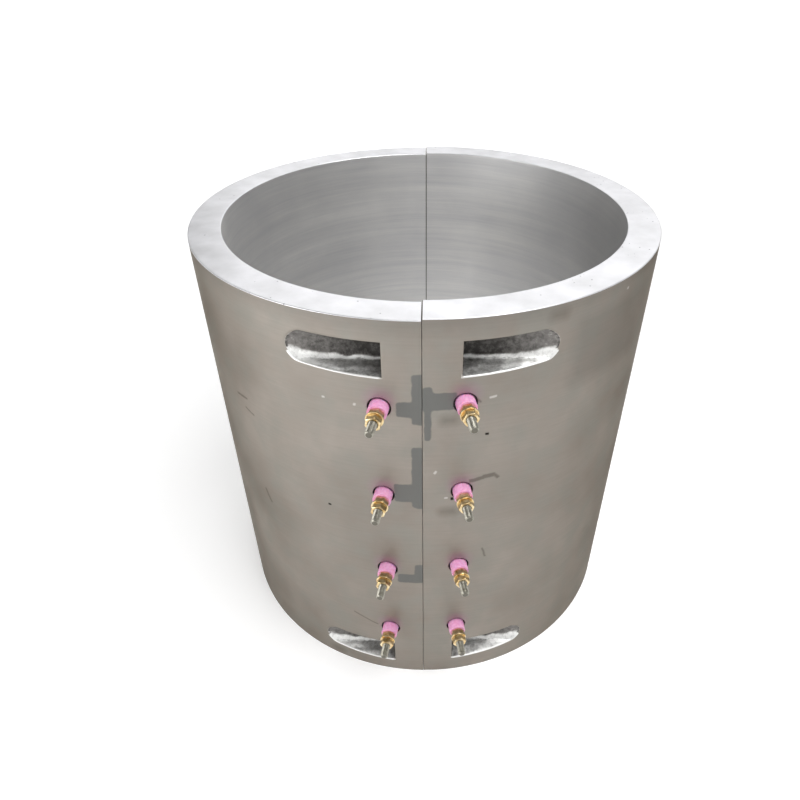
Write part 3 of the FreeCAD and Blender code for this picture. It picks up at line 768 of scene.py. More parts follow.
# %% Terminal frame
def terminal_frame(name):
    """Unit vectors across, up and out of a terminal on one half."""
    side = SIDES[name]
    out = np.array([side * math.sin(TERMINAL_ANGLE), -math.cos(TERMINAL_ANGLE), 0])
    up = np.array([0.0, 0.0, 1.0])
    return np.stack([np.cross(up, out), up, out])


def node_points(node):
    """Corner points of a construction solid, in millimetres."""
    mesh = frame["nodes"][node].data
    points = np.empty(len(mesh.vertices) * 3)
    mesh.vertices.foreach_get("co", points)
    return points.reshape(-1, 3) / MM


def measure(node, name, level):
    """A node seen along its terminal: first and last station, smallest and largest
    radius, and the angle of its farthest corner."""
    local = (node_points(node) - (0, 0, level)) @ terminal_frame(name).T
    radius = np.hypot(local[:, 0], local[:, 1])
    corner = local[np.argmax(radius)]
    return {"start": local[:, 2].min(), "end": local[:, 2].max(),
            "bore": radius.min(), "radius": radius.max(),
            "turn": math.atan2(corner[1], corner[0])}


def place(local, name, level):
    """Points given across, up and along a terminal, as points of the heater."""
    return local @ terminal_frame(name) + (0, 0, level)


for node in ("right_stud_1", "right_bush_1", "right_inner_nut_1", "right_washer_1"):
    found = measure(node, "right", terminal_levels("right")[-1])
    print(node, {key: round(float(value), 2) for key, value in found.items()})

# %% [markdown]
# ## Turned and hexagonal pieces
# A washer, a bush and a stud are turned on a lathe, so each is a profile of radius and
# station carried round the axis. A nut is the same idea with a radius that changes on
# the way round: the outline is a hexagon with slightly rounded corners, and the 30
# degree chamfer makes the height fall where the outline is far from the axis, which
# gives the curved edges on the flats. A thread is a radius that depends on the station
# and the angle together, so that its ridge climbs one pitch a turn.


# %% Shapes of the small pieces
def round_profile(corners, rounds, steps=4):
    """Closed outline (radius, station) with each corner replaced by a Bezier round."""
    corners = np.asarray(corners, float)
    before, after = np.roll(corners, 1, axis=0), np.roll(corners, -1, axis=0)
    reach = np.asarray(rounds, float)[:, None]
    start = corners + unit(before - corners) * reach
    end = corners + unit(after - corners) * reach
    curve = rounding(start, corners, end, steps)
    return curve.transpose(1, 0, 2).reshape(-1, 2)


def turned_grid(profile, count=64):
    """A profile of (radius, station) carried round the axis: the radius times cosine and
    sine of the turn, and the station as it is."""
    turn = np.linspace(0, 2 * math.pi, count + 1)[None, :]
    radius, station = profile[:, :1], profile[:, 1:]
    return np.stack([radius * np.cos(turn), radius * np.sin(turn),
                     station + 0 * turn], axis=-1)


def closed(profile):
    """The outline with its first point again at the end."""
    return np.vstack([profile, profile[:1]])


def hexagon(flats, corner_round, turn, steps=4, along=7):
    """Outline of a hexagon with rounded corners, as points across and up: arcs about
    the corners of a smaller hexagon, with even points on the lines between them."""
    inset = (flats / 2 - corner_round) / math.cos(math.pi / 6)
    outline = []
    for index in range(6):
        direction = turn + index * math.pi / 3
        spread = direction + np.linspace(-math.pi / 6, math.pi / 6, steps + 1)
        centre = inset * np.array([math.cos(direction), math.sin(direction)])
        arc = centre + corner_round * np.column_stack([np.cos(spread), np.sin(spread)])
        outline.append(arc)
    outline.append(outline[0][:1])
    points = np.vstack(outline)
    ends = [points[(steps + 1) * (index + 1) - 1] for index in range(6)]
    starts = [points[(steps + 1) * (index + 1)] for index in range(6)]
    stretches = []
    for arc, end, start in zip(outline, ends, starts):
        share = np.linspace(0, 1, along + 1)[1:-1, None]
        stretches += [arc, end + share * (start - end)]
    return np.vstack([*stretches, outline[0][:1]])


NUT_CORNER = 0.28                # round of a nut's upright corners
NUT_FACE = 0.93                  # radius of its flat face, as a share of half the flats
NUT_SINK, NUT_SOFT = 0.35, 0.09  # its countersink, and the reach of its small rounds


def nut_grid(found):
    """Hexagon nut with a countersunk bore and both faces chamfered at 30 degrees."""
    flats = found["radius"] * math.sqrt(3)
    thick = found["end"] - found["start"]
    outline = hexagon(flats, NUT_CORNER, found["turn"])
    reach = np.linalg.norm(outline, axis=1)
    direction = outline / reach[:, None]
    face = flats / 2 * NUT_FACE
    slope = math.tan(math.radians(30))
    fall = np.maximum(reach - face, 0) * slope
    bore, sink, soft = found["bore"], NUT_SINK, NUT_SOFT
    # Radius and station of each ring, from the bore's middle down, outwards and up to
    # half the height. The upper half mirrors them, so the faces point out all round.
    rings = [(bore, thick / 2), (bore, sink), (bore + sink, 0), (bore + sink + soft, 0),
             (face - soft, 0), (face + soft / 2, soft / 3),
             (reach - soft, fall - soft * slope),
             (reach - soft * 0.25, fall + soft * 0.2), (reach, fall + soft),
             (reach, thick / 2)]
    rings += [(radius, thick - station) for radius, station in rings[-2::-1]]
    grid = np.empty((len(rings), len(reach), 3))
    for row, (radius, station) in enumerate(rings):
        grid[row, :, :2] = direction * (np.zeros(len(reach)) + radius)[:, None]
        grid[row, :, 2] = found["start"] + station
    return grid


PITCH = 0.8                      # one turn of an M5 thread
THREAD_DEPTH = 0.42
# A stud's pointed end: how far before its end, and how far inside the thread's crest.
STUD_POINT = [(0.62, 0.12), (0.35, 0.4), (0.12, 0.66), (0.03, 0.8), (0.0, 0.95)]


def stud_grid(found, thread_start):
    """Terminal stud: plain inside the tube, threaded from its seat outwards, with a
    pointed end. The thread's profile is a triangle wave with worn crests."""
    radius, end = found["radius"], found["end"]
    plain = np.array([(0.0, found["start"]), (radius - 0.3, found["start"]),
                      (radius, found["start"] + 0.3), (radius, thread_start - 0.2)])
    stations = np.arange(thread_start, end - 0.75, PITCH / 8)
    count = 40
    turn = np.linspace(0, 2 * math.pi, count + 1)[None, :]
    phase = (stations[:, None] / PITCH - turn / (2 * math.pi)) % 1.0
    wave = np.clip(np.abs(2 * phase - 1) * 1.25 - 0.1, 0, 1)
    run_in = np.clip((stations - thread_start) / PITCH, 0, 1)[:, None]
    threaded = radius - THREAD_DEPTH * (1 - wave) * run_in
    point = [(radius - inside, end - before) for before, inside in STUD_POINT]
    profile = np.vstack([plain, point, (0.0, end)])
    smooth = turned_grid(profile, count)
    grid = np.stack([threaded * np.cos(turn), threaded * np.sin(turn),
                     stations[:, None] + 0 * turn], axis=-1)
    return np.concatenate([smooth[:len(plain)], grid, smooth[len(plain):]])


# %% Terminals, one by one
def small_piece(title, node, grid, name, level, sharp=40.0):
    """Makes one turned or hexagonal piece and lays it over its construction solid. The
    last two rows, which are a stud's end face, get a shine of 1."""
    patches = Patchwork()
    shine = np.zeros(grid.shape[:2])
    shine[-2:] = 1.0
    patches.grid(place(grid, name, level), 0, shine=shine)
    mesh = patches.mesh(title)
    piece = stand(mesh, sharp)
    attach(piece, "root")
    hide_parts(node)
    return piece


# Reach of the rounds at a ring's corners, in turn: bore and outside at its start, then
# outside and bore at its end.
RING_ROUNDS = {"bush": (0.25, 0.25, 0.55, 0.3), "washer": (0.1, 0.22, 0.22, 0.1)}
terminals = {"stud": [], "bush": [], "inner_nut": [], "washer": [], "outer_nut": []}
for name in SIDES:
    for index, level in enumerate(terminal_levels(name)):
        number = 4 - index
        node = name + "_%s_" + str(number)
        found = {kind: measure(node % kind, name, level) for kind in terminals}
        grids = {}
        for kind, rounds in RING_ROUNDS.items():
            bore, radius, start, end = (found[kind][key]
                                        for key in ("bore", "radius", "start", "end"))
            ring = [(bore, start), (radius, start), (radius, end), (bore, end)]
            grids[kind] = turned_grid(closed(round_profile(ring, rounds)))
        grids["inner_nut"] = nut_grid(found["inner_nut"])
        grids["outer_nut"] = nut_grid(found["outer_nut"])
        grids["stud"] = stud_grid(found["stud"], found["bush"]["end"] - 1.0)
        for kind, grid in grids.items():
            title = "%s_terminal_%d_%s" % (name, number, kind)
            piece = small_piece(title, node % kind, grid, name, level)
            terminals[kind].append(piece)
print("made", sum(len(pieces) for pieces in terminals.values()), "terminal pieces")

# %% [markdown]
# ## Colours and nodes
# Colours are written as a paint shop would note them, in sRGB hex, and one function
# turns them into the linear values that the shader works with. One more function adds
# a node to a finish, with its settings and its links, and every finish below is built
# with it. A pattern's scale is worked out from the size of its real features.


# %% Helpers for finishes
def colour(code, alpha=1.0):
    """Linear colour of an sRGB hex code: the standard curve of sRGB, undone."""
    parts = [int(code[index:index + 2], 16) / 255 for index in (1, 3, 5)]
    linear = [part / 12.92 if part <= 0.04045 else ((part + 0.055) / 1.055) ** 2.4
              for part in parts]
    return (*linear, alpha)


def feed(tree, node, inputs):
    """Fills inputs of a node, by name or number: with a value, with another node's
    output, or with a node, which stands for the first of its outputs in use."""
    for key, value in inputs.items():
        if isinstance(value, bpy.types.Node):
            value = next(output for output in value.outputs if output.enabled)
        if isinstance(value, bpy.types.NodeSocket):
            tree.links.new(value, node.inputs[key])
        else:
            node.inputs[key].default_value = value


def add(tree, kind, inputs=None, stops=(), **settings):
    """Adds a node and returns it. Settings are its own properties, inputs what feed
    takes, and stops a ramp's colours as (place from 0 to 1, hex code)."""
    node = tree.nodes.new("ShaderNode" + kind)
    for key, value in settings.items():
        setattr(node, key, value)
    for index, (spot, code) in enumerate(stops):
        elements = node.color_ramp.elements
        element = elements[index] if index < len(elements) else elements.new(spot)
        element.position, element.color = spot, colour(code)
    feed(tree, node, inputs or {})
    return node


def finish(title):
    """A new material with a Principled shader. Returns it with its tree, its shader and
    the Object coordinates of the piece."""
    material = bpy.data.materials.new(title)
    material.use_nodes = True
    tree = material.node_tree
    place = add(tree, "TexCoord").outputs["Object"]
    return material, tree, tree.nodes["Principled BSDF"], place


def per_mm(length):
    """Scale of a texture whose features are about a length in millimetres: one divided
    by that length in metres."""
    return 1.0 / (length * MM)


def lines(length, apart):
    """Scale of a texture stretched into lines round the ring, from their length and
    their distance from each other in millimetres."""
    return per_mm(length), per_mm(length), per_mm(apart)


# %% [markdown]
# ## Satin aluminium skin
# The outside is cast aluminium that was turned once and then rubbed down: a dull metal with a
# soft, wide gleam, cloudy grey patches of oxide a few centimetres across, and faint lines round
# the ring. Beside the split, marks of a cooler, darker grey stay where something lay flat on the
# metal. Painted over the skin are a pink painted reflection above each bush, painted shadows below
# two terminals on the right, painted shade over the wall's upper right and a painted highlight
# along the lower edge of each pocket's mouth.


# %% Marks on the skin
ANY_DEPTH = 9.0                  # half depth of a mark's box in metres: it never ends


def marks(tree, place, spots, side=0, corner=0.0, soft=0.5, blend=0.0, waver=0.8):
    """Mask that is 1 inside any spot on the front and 0 outside, all sizes in
    millimetres. With a side of -1 or 1 it stays on that side of the split. A spot is a
    box with round corners: middle x, middle z, half width, half height, and its turn in
    degrees. Its distance is the length of the overhang past a box smaller by the
    corner, and the smallest distance counts. Waver bends the outline."""
    noise = add(tree, "TexNoise", {"Vector": place, "Scale": per_mm(5.0), "Detail": 3.0})
    bent = add(tree, "VectorMath", {0: noise.outputs["Color"], 1: (2 * waver * MM,) * 3,
                                    2: place}, operation="MULTIPLY_ADD")
    total = None
    for x, z, half_x, half_z, turn in spots:
        middle = ((x + waver) * MM, 0, (z + waver) * MM)
        local = add(tree, "VectorMath", {0: bent, 1: middle}, operation="SUBTRACT")
        if turn:
            local = add(tree, "VectorRotate", {"Vector": local,
                                               "Angle": math.radians(turn)},
                        rotation_type="Y_AXIS")
        size = add(tree, "VectorMath", {0: local}, operation="ABSOLUTE")
        inner = ((half_x - corner) * MM, ANY_DEPTH, (half_z - corner) * MM)
        over = add(tree, "VectorMath", {0: size, 1: inner}, operation="SUBTRACT")
        over = add(tree, "VectorMath", {0: over}, operation="MAXIMUM")
        far = add(tree, "VectorMath", {0: over}, operation="LENGTH")
        total = far if total is None else add(
            tree, "Math", {0: total, 1: far, 2: blend * MM}, operation="SMOOTH_MIN")
    mask = add(tree, "MapRange", {"Value": total, "From Min": (corner + soft) * MM,
                                  "From Max": max(corner - soft, 0) * MM})
    axes = add(tree, "SeparateXYZ", {0: place})
    kept = add(tree, "Math", {0: axes.outputs["Y"], 1: 0.0}, operation="LESS_THAN")
    if side:
        beside = add(tree, "Math", {0: axes.outputs["X"], 1: float(side)},
                     operation="MULTIPLY")
        beside = add(tree, "Math", {0: beside, 1: 0.0}, operation="GREATER_THAN")
        kept = add(tree, "Math", {0: kept, 1: beside}, operation="MULTIPLY")
    return add(tree, "Math", {0: mask, 1: kept}, operation="MULTIPLY")


# Every spot: middle x, middle z, half width, half height in millimetres, turn in degrees.
LEFT_STAINS = [
    (-1.8, 247.4, 3.6, 15.9, 0), (-6.0, 241.0, 7.6, 4.9, 0), (-0.6, 236.0, 2.6, 4.6, 0),
    (-2.0, 192.5, 4.0, 23.0, 0), (-7.2, 181.0, 9.2, 6.9, 0), (-0.6, 173.5, 3.0, 4.6, 0),
    (-1.8, 110.2, 3.4, 8.4, 0), (-7.2, 105.0, 9.0, 4.0, 0),
]
RIGHT_STAINS = [
    (8.4, 246.5, 9.6, 5.5, 0), (2.9, 238.0, 1.9, 17.4, 0), (1.6, 250.0, 3.4, 4.9, 0),
]
SCRATCHES = [
    (-39.9, 55.9, 9.4, 0.35, -26), (30.9, 189.6, 4.4, 1.3, 10), (38.0, 191.0, 3.8, 1.3, 6),
    (42.6, 189.6, 2.0, 0.9, -50), (38.4, 125.5, 4.4, 0.4, -74), (29.0, 246.2, 2.6, 0.5, -48),
    (-109.0, 216.5, 4.0, 0.6, 6), (-105.0, 208.0, 3.2, 0.5, -16),
    (-102.8, 139.6, 5.2, 0.5, -72),
]
PITS = [(35.2, 222.3, 1.1, 0.8, 0), (-56.5, 161.4, 0.9, 0.8, 0), (17.2, 176.2, 0.9, 1.1, 0)]
SPECKS = [
    (37.1, 246.8, 1.8, 0.5, 10), (7.2, 197.3, 0.6, 1.2, -30), (-52.9, 242.6, 0.7, 0.6, 0),
    (-35.9, 241.9, 0.6, 0.7, 0), (110.4, 287.8, 0.6, 0.8, 0), (13.4, 177.0, 0.9, 0.6, 0),
]
# Painted reflection: a pink tint on the wall just above each bush, where the bush shows in the
# metal.
PAINTED_BUSH_REFLECTIONS = [(side * OUTSIDE * math.sin(TERMINAL_ANGLE), level + 5.0, 6.0, 5.0, 0)
           for name, side in SIDES.items() for level in terminal_levels(name)]
# The first two are painted shadows, below and to the left of the two upper terminals on the right;
# the other two are dark smudges.
SHADOWS_AND_SMEARS = [(14.2, 234.0, 5.0, 3.0, 0), (14.8, 166.0, 6.0, 3.0, 0),
          (-63.8, 5.9, 5.0, 3.0, 0), (68.7, 288.5, 5.0, 3.0, 0)]
# A darker band along the top of the wall, and painted shade over the wall's upper right.
TOP_BAND_AND_PAINTED_SHADE = [(0.0, 293.0, 150.0, 5.0, 0), (104.0, 262.0, 24.0, 22.0, 0)]
STAIN_FORM = {"corner": 1.6, "soft": 0.4, "blend": 3.0}
SKIN_MARKS = [
    # spots, colour, its share over the skin, form: each lies over the ones before it
    (PAINTED_BUSH_REFLECTIONS, "#B886A8", 0.3, {"corner": 4.5, "soft": 4.5}),
    (TOP_BAND_AND_PAINTED_SHADE, "#6E6B66", 0.3, {"corner": 5.0, "soft": 5.0, "blend": 12.0, "waver": 2.0}),
    (SHADOWS_AND_SMEARS, "#6E665E", 0.45, {"corner": 2.8, "soft": 2.8}),
    (LEFT_STAINS, "#747573", 0.9, {**STAIN_FORM, "side": -1}),
    (RIGHT_STAINS, "#747573", 0.9, {**STAIN_FORM, "side": 1}),
    (SCRATCHES, "#5C554E", 0.6, {"corner": 0.4, "soft": 0.6}),
    (PITS, "#1C1A18", 0.95, {"corner": 0.5, "soft": 0.3}),
    (SPECKS, "#D8D4D0", 0.7, {"corner": 0.3, "soft": 0.4}),
]
print("marks on the skin:", sum(len(spots) for spots, code, share, form in SKIN_MARKS))


# %% Satin skin
def satin_skin():
    """Cast aluminium, turned and rubbed down. Its oxide makes it a dull, warm grey with
    cooler clouds, and its rubbed grain spreads every reflection into a wide gleam. The
    real brush lines and their grain are about 0.1 mm wide. They are drawn 1.1 and
    1.6 mm wide, which is as coarse as they need to be to show."""
    material, tree, shader, place = finish("satin cast aluminium")
    cloud = add(tree, "TexNoise", {"Vector": place, "Scale": per_mm(55.0), "Detail": 4.0,
                                   "Roughness": 0.55})
    tint = add(tree, "ValToRGB", {0: cloud}, stops=[(0.32, "#938C84"), (0.68, "#A59E96")])
    oxide = add(tree, "TexNoise", {"Vector": place, "Scale": per_mm(16.0), "Detail": 3.0})
    cool = add(tree, "MapRange", {"Value": oxide, "From Min": 0.42, "From Max": 0.68,
                                  "To Max": 0.5})
    tint = add(tree, "Mix", {"Factor": cool, "A": tint, "B": colour("#95958E")},
               data_type="RGBA")
    along = add(tree, "Mapping", {"Vector": place, "Scale": lines(33.333, 1.1111)})
    brush = add(tree, "TexNoise", {"Vector": along, "Scale": 1.0, "Detail": 3.0,
                                   "Roughness": 0.7})
    grain = add(tree, "TexNoise", {"Vector": place, "Scale": per_mm(1.6), "Detail": 2.0})
    streak = add(tree, "MapRange", {"Value": brush, "From Min": 0.3, "From Max": 0.7,
                                    "To Min": 0.97, "To Max": 1.03})
    skin = add(tree, "Mix", {"Factor": 1.0, "A": tint, "B": streak}, data_type="RGBA",
               blend_type="MULTIPLY")
    # Some marks are painted light: the pink painted reflections above the bushes, the painted
    # shadows among the smears and the painted shade of the upper right wall.
    for spots, code, share, form in SKIN_MARKS:
        mask = marks(tree, place, spots, **form)
        weight = add(tree, "Math", {0: mask, 1: share}, operation="MULTIPLY")
        skin = add(tree, "Mix", {"Factor": weight, "A": skin, "B": colour(code)},
                   data_type="RGBA")
    # Painted highlight: where the mesh's shine is 1, along the lower edges of the pockets' mouths,
    # the skin turns nearly white.
    shine = add(tree, "Attribute", attribute_name="shine").outputs["Fac"]
    skin = add(tree, "Mix", {"Factor": shine, "A": skin, "B": colour("#F4F4F2")},
               data_type="RGBA")
    rough = add(tree, "MapRange", {"Value": cloud, "From Min": 0.3, "From Max": 0.7,
                                   "To Min": 0.5, "To Max": 0.6})
    relief = add(tree, "Math", {0: brush, 1: grain}, operation="ADD")
    bump = add(tree, "Bump", {"Height": relief, "Strength": 0.25, "Distance": 0.2 * MM})
    feed(tree, shader, {"Base Color": skin, "Specular Tint": colour("#7C7874"),
                        "Metallic": 1.0, "Roughness": rough, "Normal": bump})
    return material


# %% [markdown]
# ## Machined rim, turned bore, cast pocket and sawn split
# The rims were faced on a lathe last, so they are the brightest metal, with tiny pores that the
# cut opened. The bore was bored out and shows broad bands round the ring, one for each pass, and
# painted shade darkens its right half towards the side. The pockets kept the skin of the mould, a
# rough grain, with painted light near the crease and at the mouth and painted shade deep inside.
# The split faces carry saw lines.


# %% Machined finishes
PORE_CLUSTERS = [
    # x, y and reach on the top rim, in millimetres
    (138.0, -9.0, 11.0), (122.0, -66.0, 15.0), (86.0, -107.0, 8.0), (126.0, 60.0, 22.0),
]


def machined_rim():
    """Faced cast aluminium: freshly cut metal, nearly white and evenly glossy, with
    clusters of darker pores, cells 4 mm apart of which only some are open. The grain
    that the tool left is drawn 1.2 mm wide, coarser than real so that it shows."""
    material, tree, shader, place = finish("faced aluminium rim")
    cloud = add(tree, "TexNoise", {"Vector": place, "Scale": per_mm(18.0), "Detail": 4.0})
    tint = add(tree, "ValToRGB", {0: cloud}, stops=[(0.3, "#DADADC"), (0.7, "#EFEFF2")])
    pores = add(tree, "TexVoronoi", {"Vector": place, "Scale": per_mm(4.0)})
    pore = add(tree, "MapRange", {"Value": pores, "From Min": 0.08, "From Max": 0.15,
                                  "To Min": 1.0, "To Max": 0.0})
    some = add(tree, "SeparateColor", {0: pores.outputs["Color"]})
    nearest = None
    for x, y, reach in PORE_CLUSTERS:
        far = add(tree, "VectorMath", {0: place, 1: (x * MM, y * MM, HEIGHT["right"] * MM)},
                  operation="DISTANCE")
        share = add(tree, "Math", {0: far, 1: reach * MM}, operation="DIVIDE")
        nearest = share if nearest is None else add(
            tree, "Math", {0: nearest, 1: share}, operation="MINIMUM")
    limit = add(tree, "MapRange", {"Value": nearest, "From Min": 0.6, "From Max": 1.2,
                                   "To Min": 0.1, "To Max": 0.9})
    chosen = add(tree, "Math", {0: some, 1: limit}, operation="GREATER_THAN")
    dark = add(tree, "Math", {0: pore, 1: chosen}, operation="MULTIPLY")
    spotted = add(tree, "Mix", {"Factor": dark, "A": tint, "B": colour("#9C9CA0")},
                  data_type="RGBA")
    fine = add(tree, "TexNoise", {"Vector": place, "Scale": per_mm(1.2), "Detail": 3.0})
    bump = add(tree, "Bump", {"Height": fine, "Strength": 0.2, "Distance": 0.1 * MM})
    feed(tree, shader, {"Base Color": spotted, "Metallic": 1.0, "Roughness": 0.38,
                        "Normal": bump})
    return material


def turned_bore():
    """Bored cast aluminium: cut metal with broad bands round the ring, 4.5 mm apart as the passes
    of a boring bar are, and on the right half painted shade that darkens it towards the side."""
    material, tree, shader, place = finish("bored aluminium")
    cloud = add(tree, "TexNoise", {"Vector": place, "Scale": per_mm(60.0), "Detail": 3.0})
    along = add(tree, "Mapping", {"Vector": place, "Scale": lines(166.67, 4.5455)})
    band = add(tree, "TexNoise", {"Vector": along, "Scale": 1.0, "Detail": 5.0,
                                  "Roughness": 0.75})
    mixed = add(tree, "Mix", {"Factor": 0.6, "A": cloud, "B": band})
    tint = add(tree, "ValToRGB", {0: mixed}, stops=[(0.36, "#E6E6E7"), (0.64, "#FAF9F7")])
    axes = add(tree, "SeparateXYZ", {0: place})
    # Painted shade: on the right half the colour falls to 0.6 of itself between 40 and 125 mm from
    # the split.
    painted_bore_shade = add(tree, "MapRange", {"Value": axes.outputs["X"], "From Min": 0.04,
                                  "From Max": 0.125, "To Min": 1.0, "To Max": 0.6})
    dull = add(tree, "Mix", {"Factor": 1.0, "A": tint, "B": painted_bore_shade}, data_type="RGBA",
               blend_type="MULTIPLY")
    rough = add(tree, "MapRange", {"Value": band, "From Min": 0.3, "From Max": 0.7,
                                   "To Min": 0.42, "To Max": 0.52})
    bump = add(tree, "Bump", {"Height": band, "Strength": 0.35, "Distance": 0.4 * MM})
    feed(tree, shader, {"Base Color": dull, "Metallic": 1.0, "Roughness": rough,
                        "Normal": bump})
    return material


def cast_pocket():
    """Aluminium as the mould left it: a grain of 3 mm and rough. Its colour is painted light and
    shade as the shine of the mesh says, from a near black painted shade at 0 to a near white
    painted highlight at 1; where no shine is given, as on the pockets' flat ends and inside the
    terminal holes, it is darkest."""
    material, tree, shader, place = finish("raw cast aluminium")
    grain = add(tree, "TexNoise", {"Vector": place, "Scale": per_mm(3.0), "Detail": 5.0,
                                   "Roughness": 0.7})
    shine = add(tree, "Attribute", attribute_name="shine").outputs["Fac"]
    waver = add(tree, "MapRange", {"Value": grain, "From Min": 0.3, "From Max": 0.7,
                                   "To Min": -0.22, "To Max": 0.22})
    mixed = add(tree, "Math", {0: shine, 1: waver}, operation="ADD")
    # Painted light and shade: the ramp runs from near black to near white along the shine.
    tint = add(tree, "ValToRGB", {0: mixed},
               stops=[(0.0, "#4A4846"), (0.45, "#8A8784"), (1.0, "#F6F6F4")])
    bump = add(tree, "Bump", {"Height": grain, "Strength": 0.5, "Distance": 0.5 * MM})
    feed(tree, shader, {"Base Color": tint, "Metallic": 1.0, "Roughness": 0.6,
                        "Normal": bump})
    return material


def grained(title, stops, scale, detail=3.0, gloss=None, relief=None, end=None, **values):
    """A finish whose colour, gloss and relief all follow one noise. Scale is a number,
    or three for lines. Gloss is the lowest and highest roughness, relief a bump's
    strength and depth in millimetres, and values are the shader's own. Where the mesh
    has a shine of 1, the finish takes the end's colour."""
    material, tree, shader, place = finish(title)
    if isinstance(scale, tuple):
        place = add(tree, "Mapping", {"Vector": place, "Scale": scale})
        scale = 1.0
    noise = add(tree, "TexNoise", {"Vector": place, "Scale": scale, "Detail": detail})
    skin = add(tree, "ValToRGB", {0: noise}, stops=stops)
    if end:
        shine = add(tree, "Attribute", attribute_name="shine").outputs["Fac"]
        skin = add(tree, "Mix", {"Factor": shine, "A": skin, "B": colour(end)},
                   data_type="RGBA")
    inputs = {"Base Color": skin}
    if gloss:
        inputs["Roughness"] = add(tree, "MapRange", {"Value": noise, "To Min": gloss[0],
                                                     "To Max": gloss[1]})
    if relief:
        inputs["Normal"] = add(tree, "Bump", {"Height": noise, "Strength": relief[0],
                                              "Distance": relief[1] * MM})
    feed(tree, shader, inputs)
    feed(tree, shader, {key.replace("_", " "): value for key, value in values.items()})
    return material


# Sawn cast aluminium: grey, half dull lines. Real saw lines are finer than these 0.7 mm.
sawn_split = grained("sawn aluminium", [(0.0, "#8F8C88"), (1.0, "#BDBAB6")],
                     lines(16.667, 0.71429), relief=(0.4, 0.2), Metallic=1.0,
                     Roughness=0.45)
casting_finishes = [satin_skin(), machined_rim(), turned_bore(), cast_pocket(), sawn_split]
for casting in castings.values():
    for material in casting_finishes:
        casting.data.materials.append(material)
print("casting finishes:", [material.name for material in casting_finishes])

# %% [markdown]
# ## Terminals: pink ceramic, brass and steel
# The bushes are pressed alumina with a pink stain, fired without a glaze. Nuts and
# washers are turned brass. The studs are steel with a thin film of oil and oxide. The
# tubes, their powder and their wires stay hidden inside the castings.


# %% Finishes of the terminals
# Unglazed alumina: matt and a little translucent, with a fine grain.
ceramic = grained("unglazed pink alumina", [(0.3, "#EC9CCD"), (0.7, "#F8BBE0")],
                  per_mm(1.4), relief=(0.25, 0.1), Roughness=0.55, IOR=1.6,
                  Subsurface_Weight=0.15, Subsurface_Scale=0.001)
# Turned brass, still bright: warm mirrors, a little softened by handling.
brass = grained("turned brass", [(0.3, "#D2AE70"), (0.7, "#F3E3BC")], per_mm(2.5),
                gloss=(0.24, 0.36), relief=(0.15, 0.1), Metallic=1.0)
# Drawn steel under oil: dull, yellowish grey, with a darker end face.
stud_steel = grained("oiled steel", [(0.3, "#88857B"), (0.7, "#B5B2A6")], per_mm(1.5),
                     gloss=(0.3, 0.45), end="#716E65", Metallic=1.0)
# Steel tube, annealed after its bends: a dull, brownish grey.
tube_steel = grained("annealed steel tube", [(0.3, "#6B6862"), (0.7, "#85817A")],
                     per_mm(4.0), gloss=(0.4, 0.55), Metallic=1.0)
# Drawn resistance wire: dark grey from its oxide.
resistance_wire = grained("drawn resistance wire", [(0.3, "#5E5B57"), (0.7, "#76736D")],
                          per_mm(2.0), gloss=(0.35, 0.5), Metallic=1.0)
# Pressed magnesia powder: chalky and off-white.
powder = grained("pressed magnesia", [(0.0, "#CFCBC0"), (1.0, "#ECE8DF")], per_mm(0.8),
                 detail=2.0, Roughness=0.9)
for kind, pieces in terminals.items():
    for piece in pieces:
        piece.data.materials.append({"bush": ceramic, "stud": stud_steel}.get(kind, brass))
inner_finishes = {"_sheath": tube_steel, "_powder": powder, "_coil": resistance_wire}
for title, node in frame["nodes"].items():
    for ending, material in inner_finishes.items():
        if title.endswith(ending):
            node.data.materials.clear()
            node.data.materials.append(material)
print("finished", len(terminals["bush"]), "terminals and their tubes")

# %% [markdown]
# ## Floor, light and camera
# The heater stands on a plain white floor. The strongest lamp hangs above and a little
# in front, a wide one behind makes the rims gleam, and a low one at the left and the
# bright left side of the room let the round wall turn darker to the right. The camera
# looks down on it with the lens and the place that a fit of both rim ellipses gave.


# %% Floor
FLOOR_REACH = 20.0               # radius in metres
GLOW_RINGS = [
    # distance from the axis in metres where it starts and ends, glow before and after
    (0.12, 0.16, 0.26, 0.32), (0.2, 0.45, 0.0, -0.06), (0.5, 2.0, 0.0, 0.72),
]
GLOW_ACROSS = (-0.2, 0.4, 1.1, 0.6)  # the same along x, as a factor on the first ring


def white_floor():
    """White paper that keeps the heater's soft shadow. Away from the heater the paper
    gives light of its own, more with the distance, so that it stays white where the
    lamps no longer reach."""
    material, tree, shader, place = finish("white paper floor")
    feed(tree, shader, {"Base Color": colour("#F4F4F4"), "Roughness": 0.9})
    path = add(tree, "LightPath")
    seen = add(tree, "Math", {0: path.outputs["Is Camera Ray"],
                              1: path.outputs["Is Glossy Ray"]}, operation="MAXIMUM")
    seen = add(tree, "Math", {0: seen, 1: path.outputs["Is Transmission Ray"]},
               operation="MAXIMUM")
    far = add(tree, "VectorMath", {0: place}, operation="LENGTH")
    axes = add(tree, "SeparateXYZ", {0: place})
    beside, ahead, beyond, across = [
        add(tree, "MapRange", {"Value": value, "From Min": start, "From Max": end,
                               "To Min": low, "To Max": high})
        for value, (start, end, low, high) in zip([far] * 3 + [axes.outputs["X"]],
                                                  [*GLOW_RINGS, GLOW_ACROSS])]
    strength = add(tree, "Math", {0: ahead, 1: beyond}, operation="ADD")
    strength = add(tree, "Math", {0: beside, 1: across, 2: strength},
                   operation="MULTIPLY_ADD")
    glow = add(tree, "Emission", {"Strength": strength})
    both = add(tree, "AddShader", {0: shader, 1: glow})
    chosen = add(tree, "MixShader", {0: seen, 1: shader, 2: both})
    feed(tree, tree.nodes["Material Output"], {"Surface": chosen})
    return material


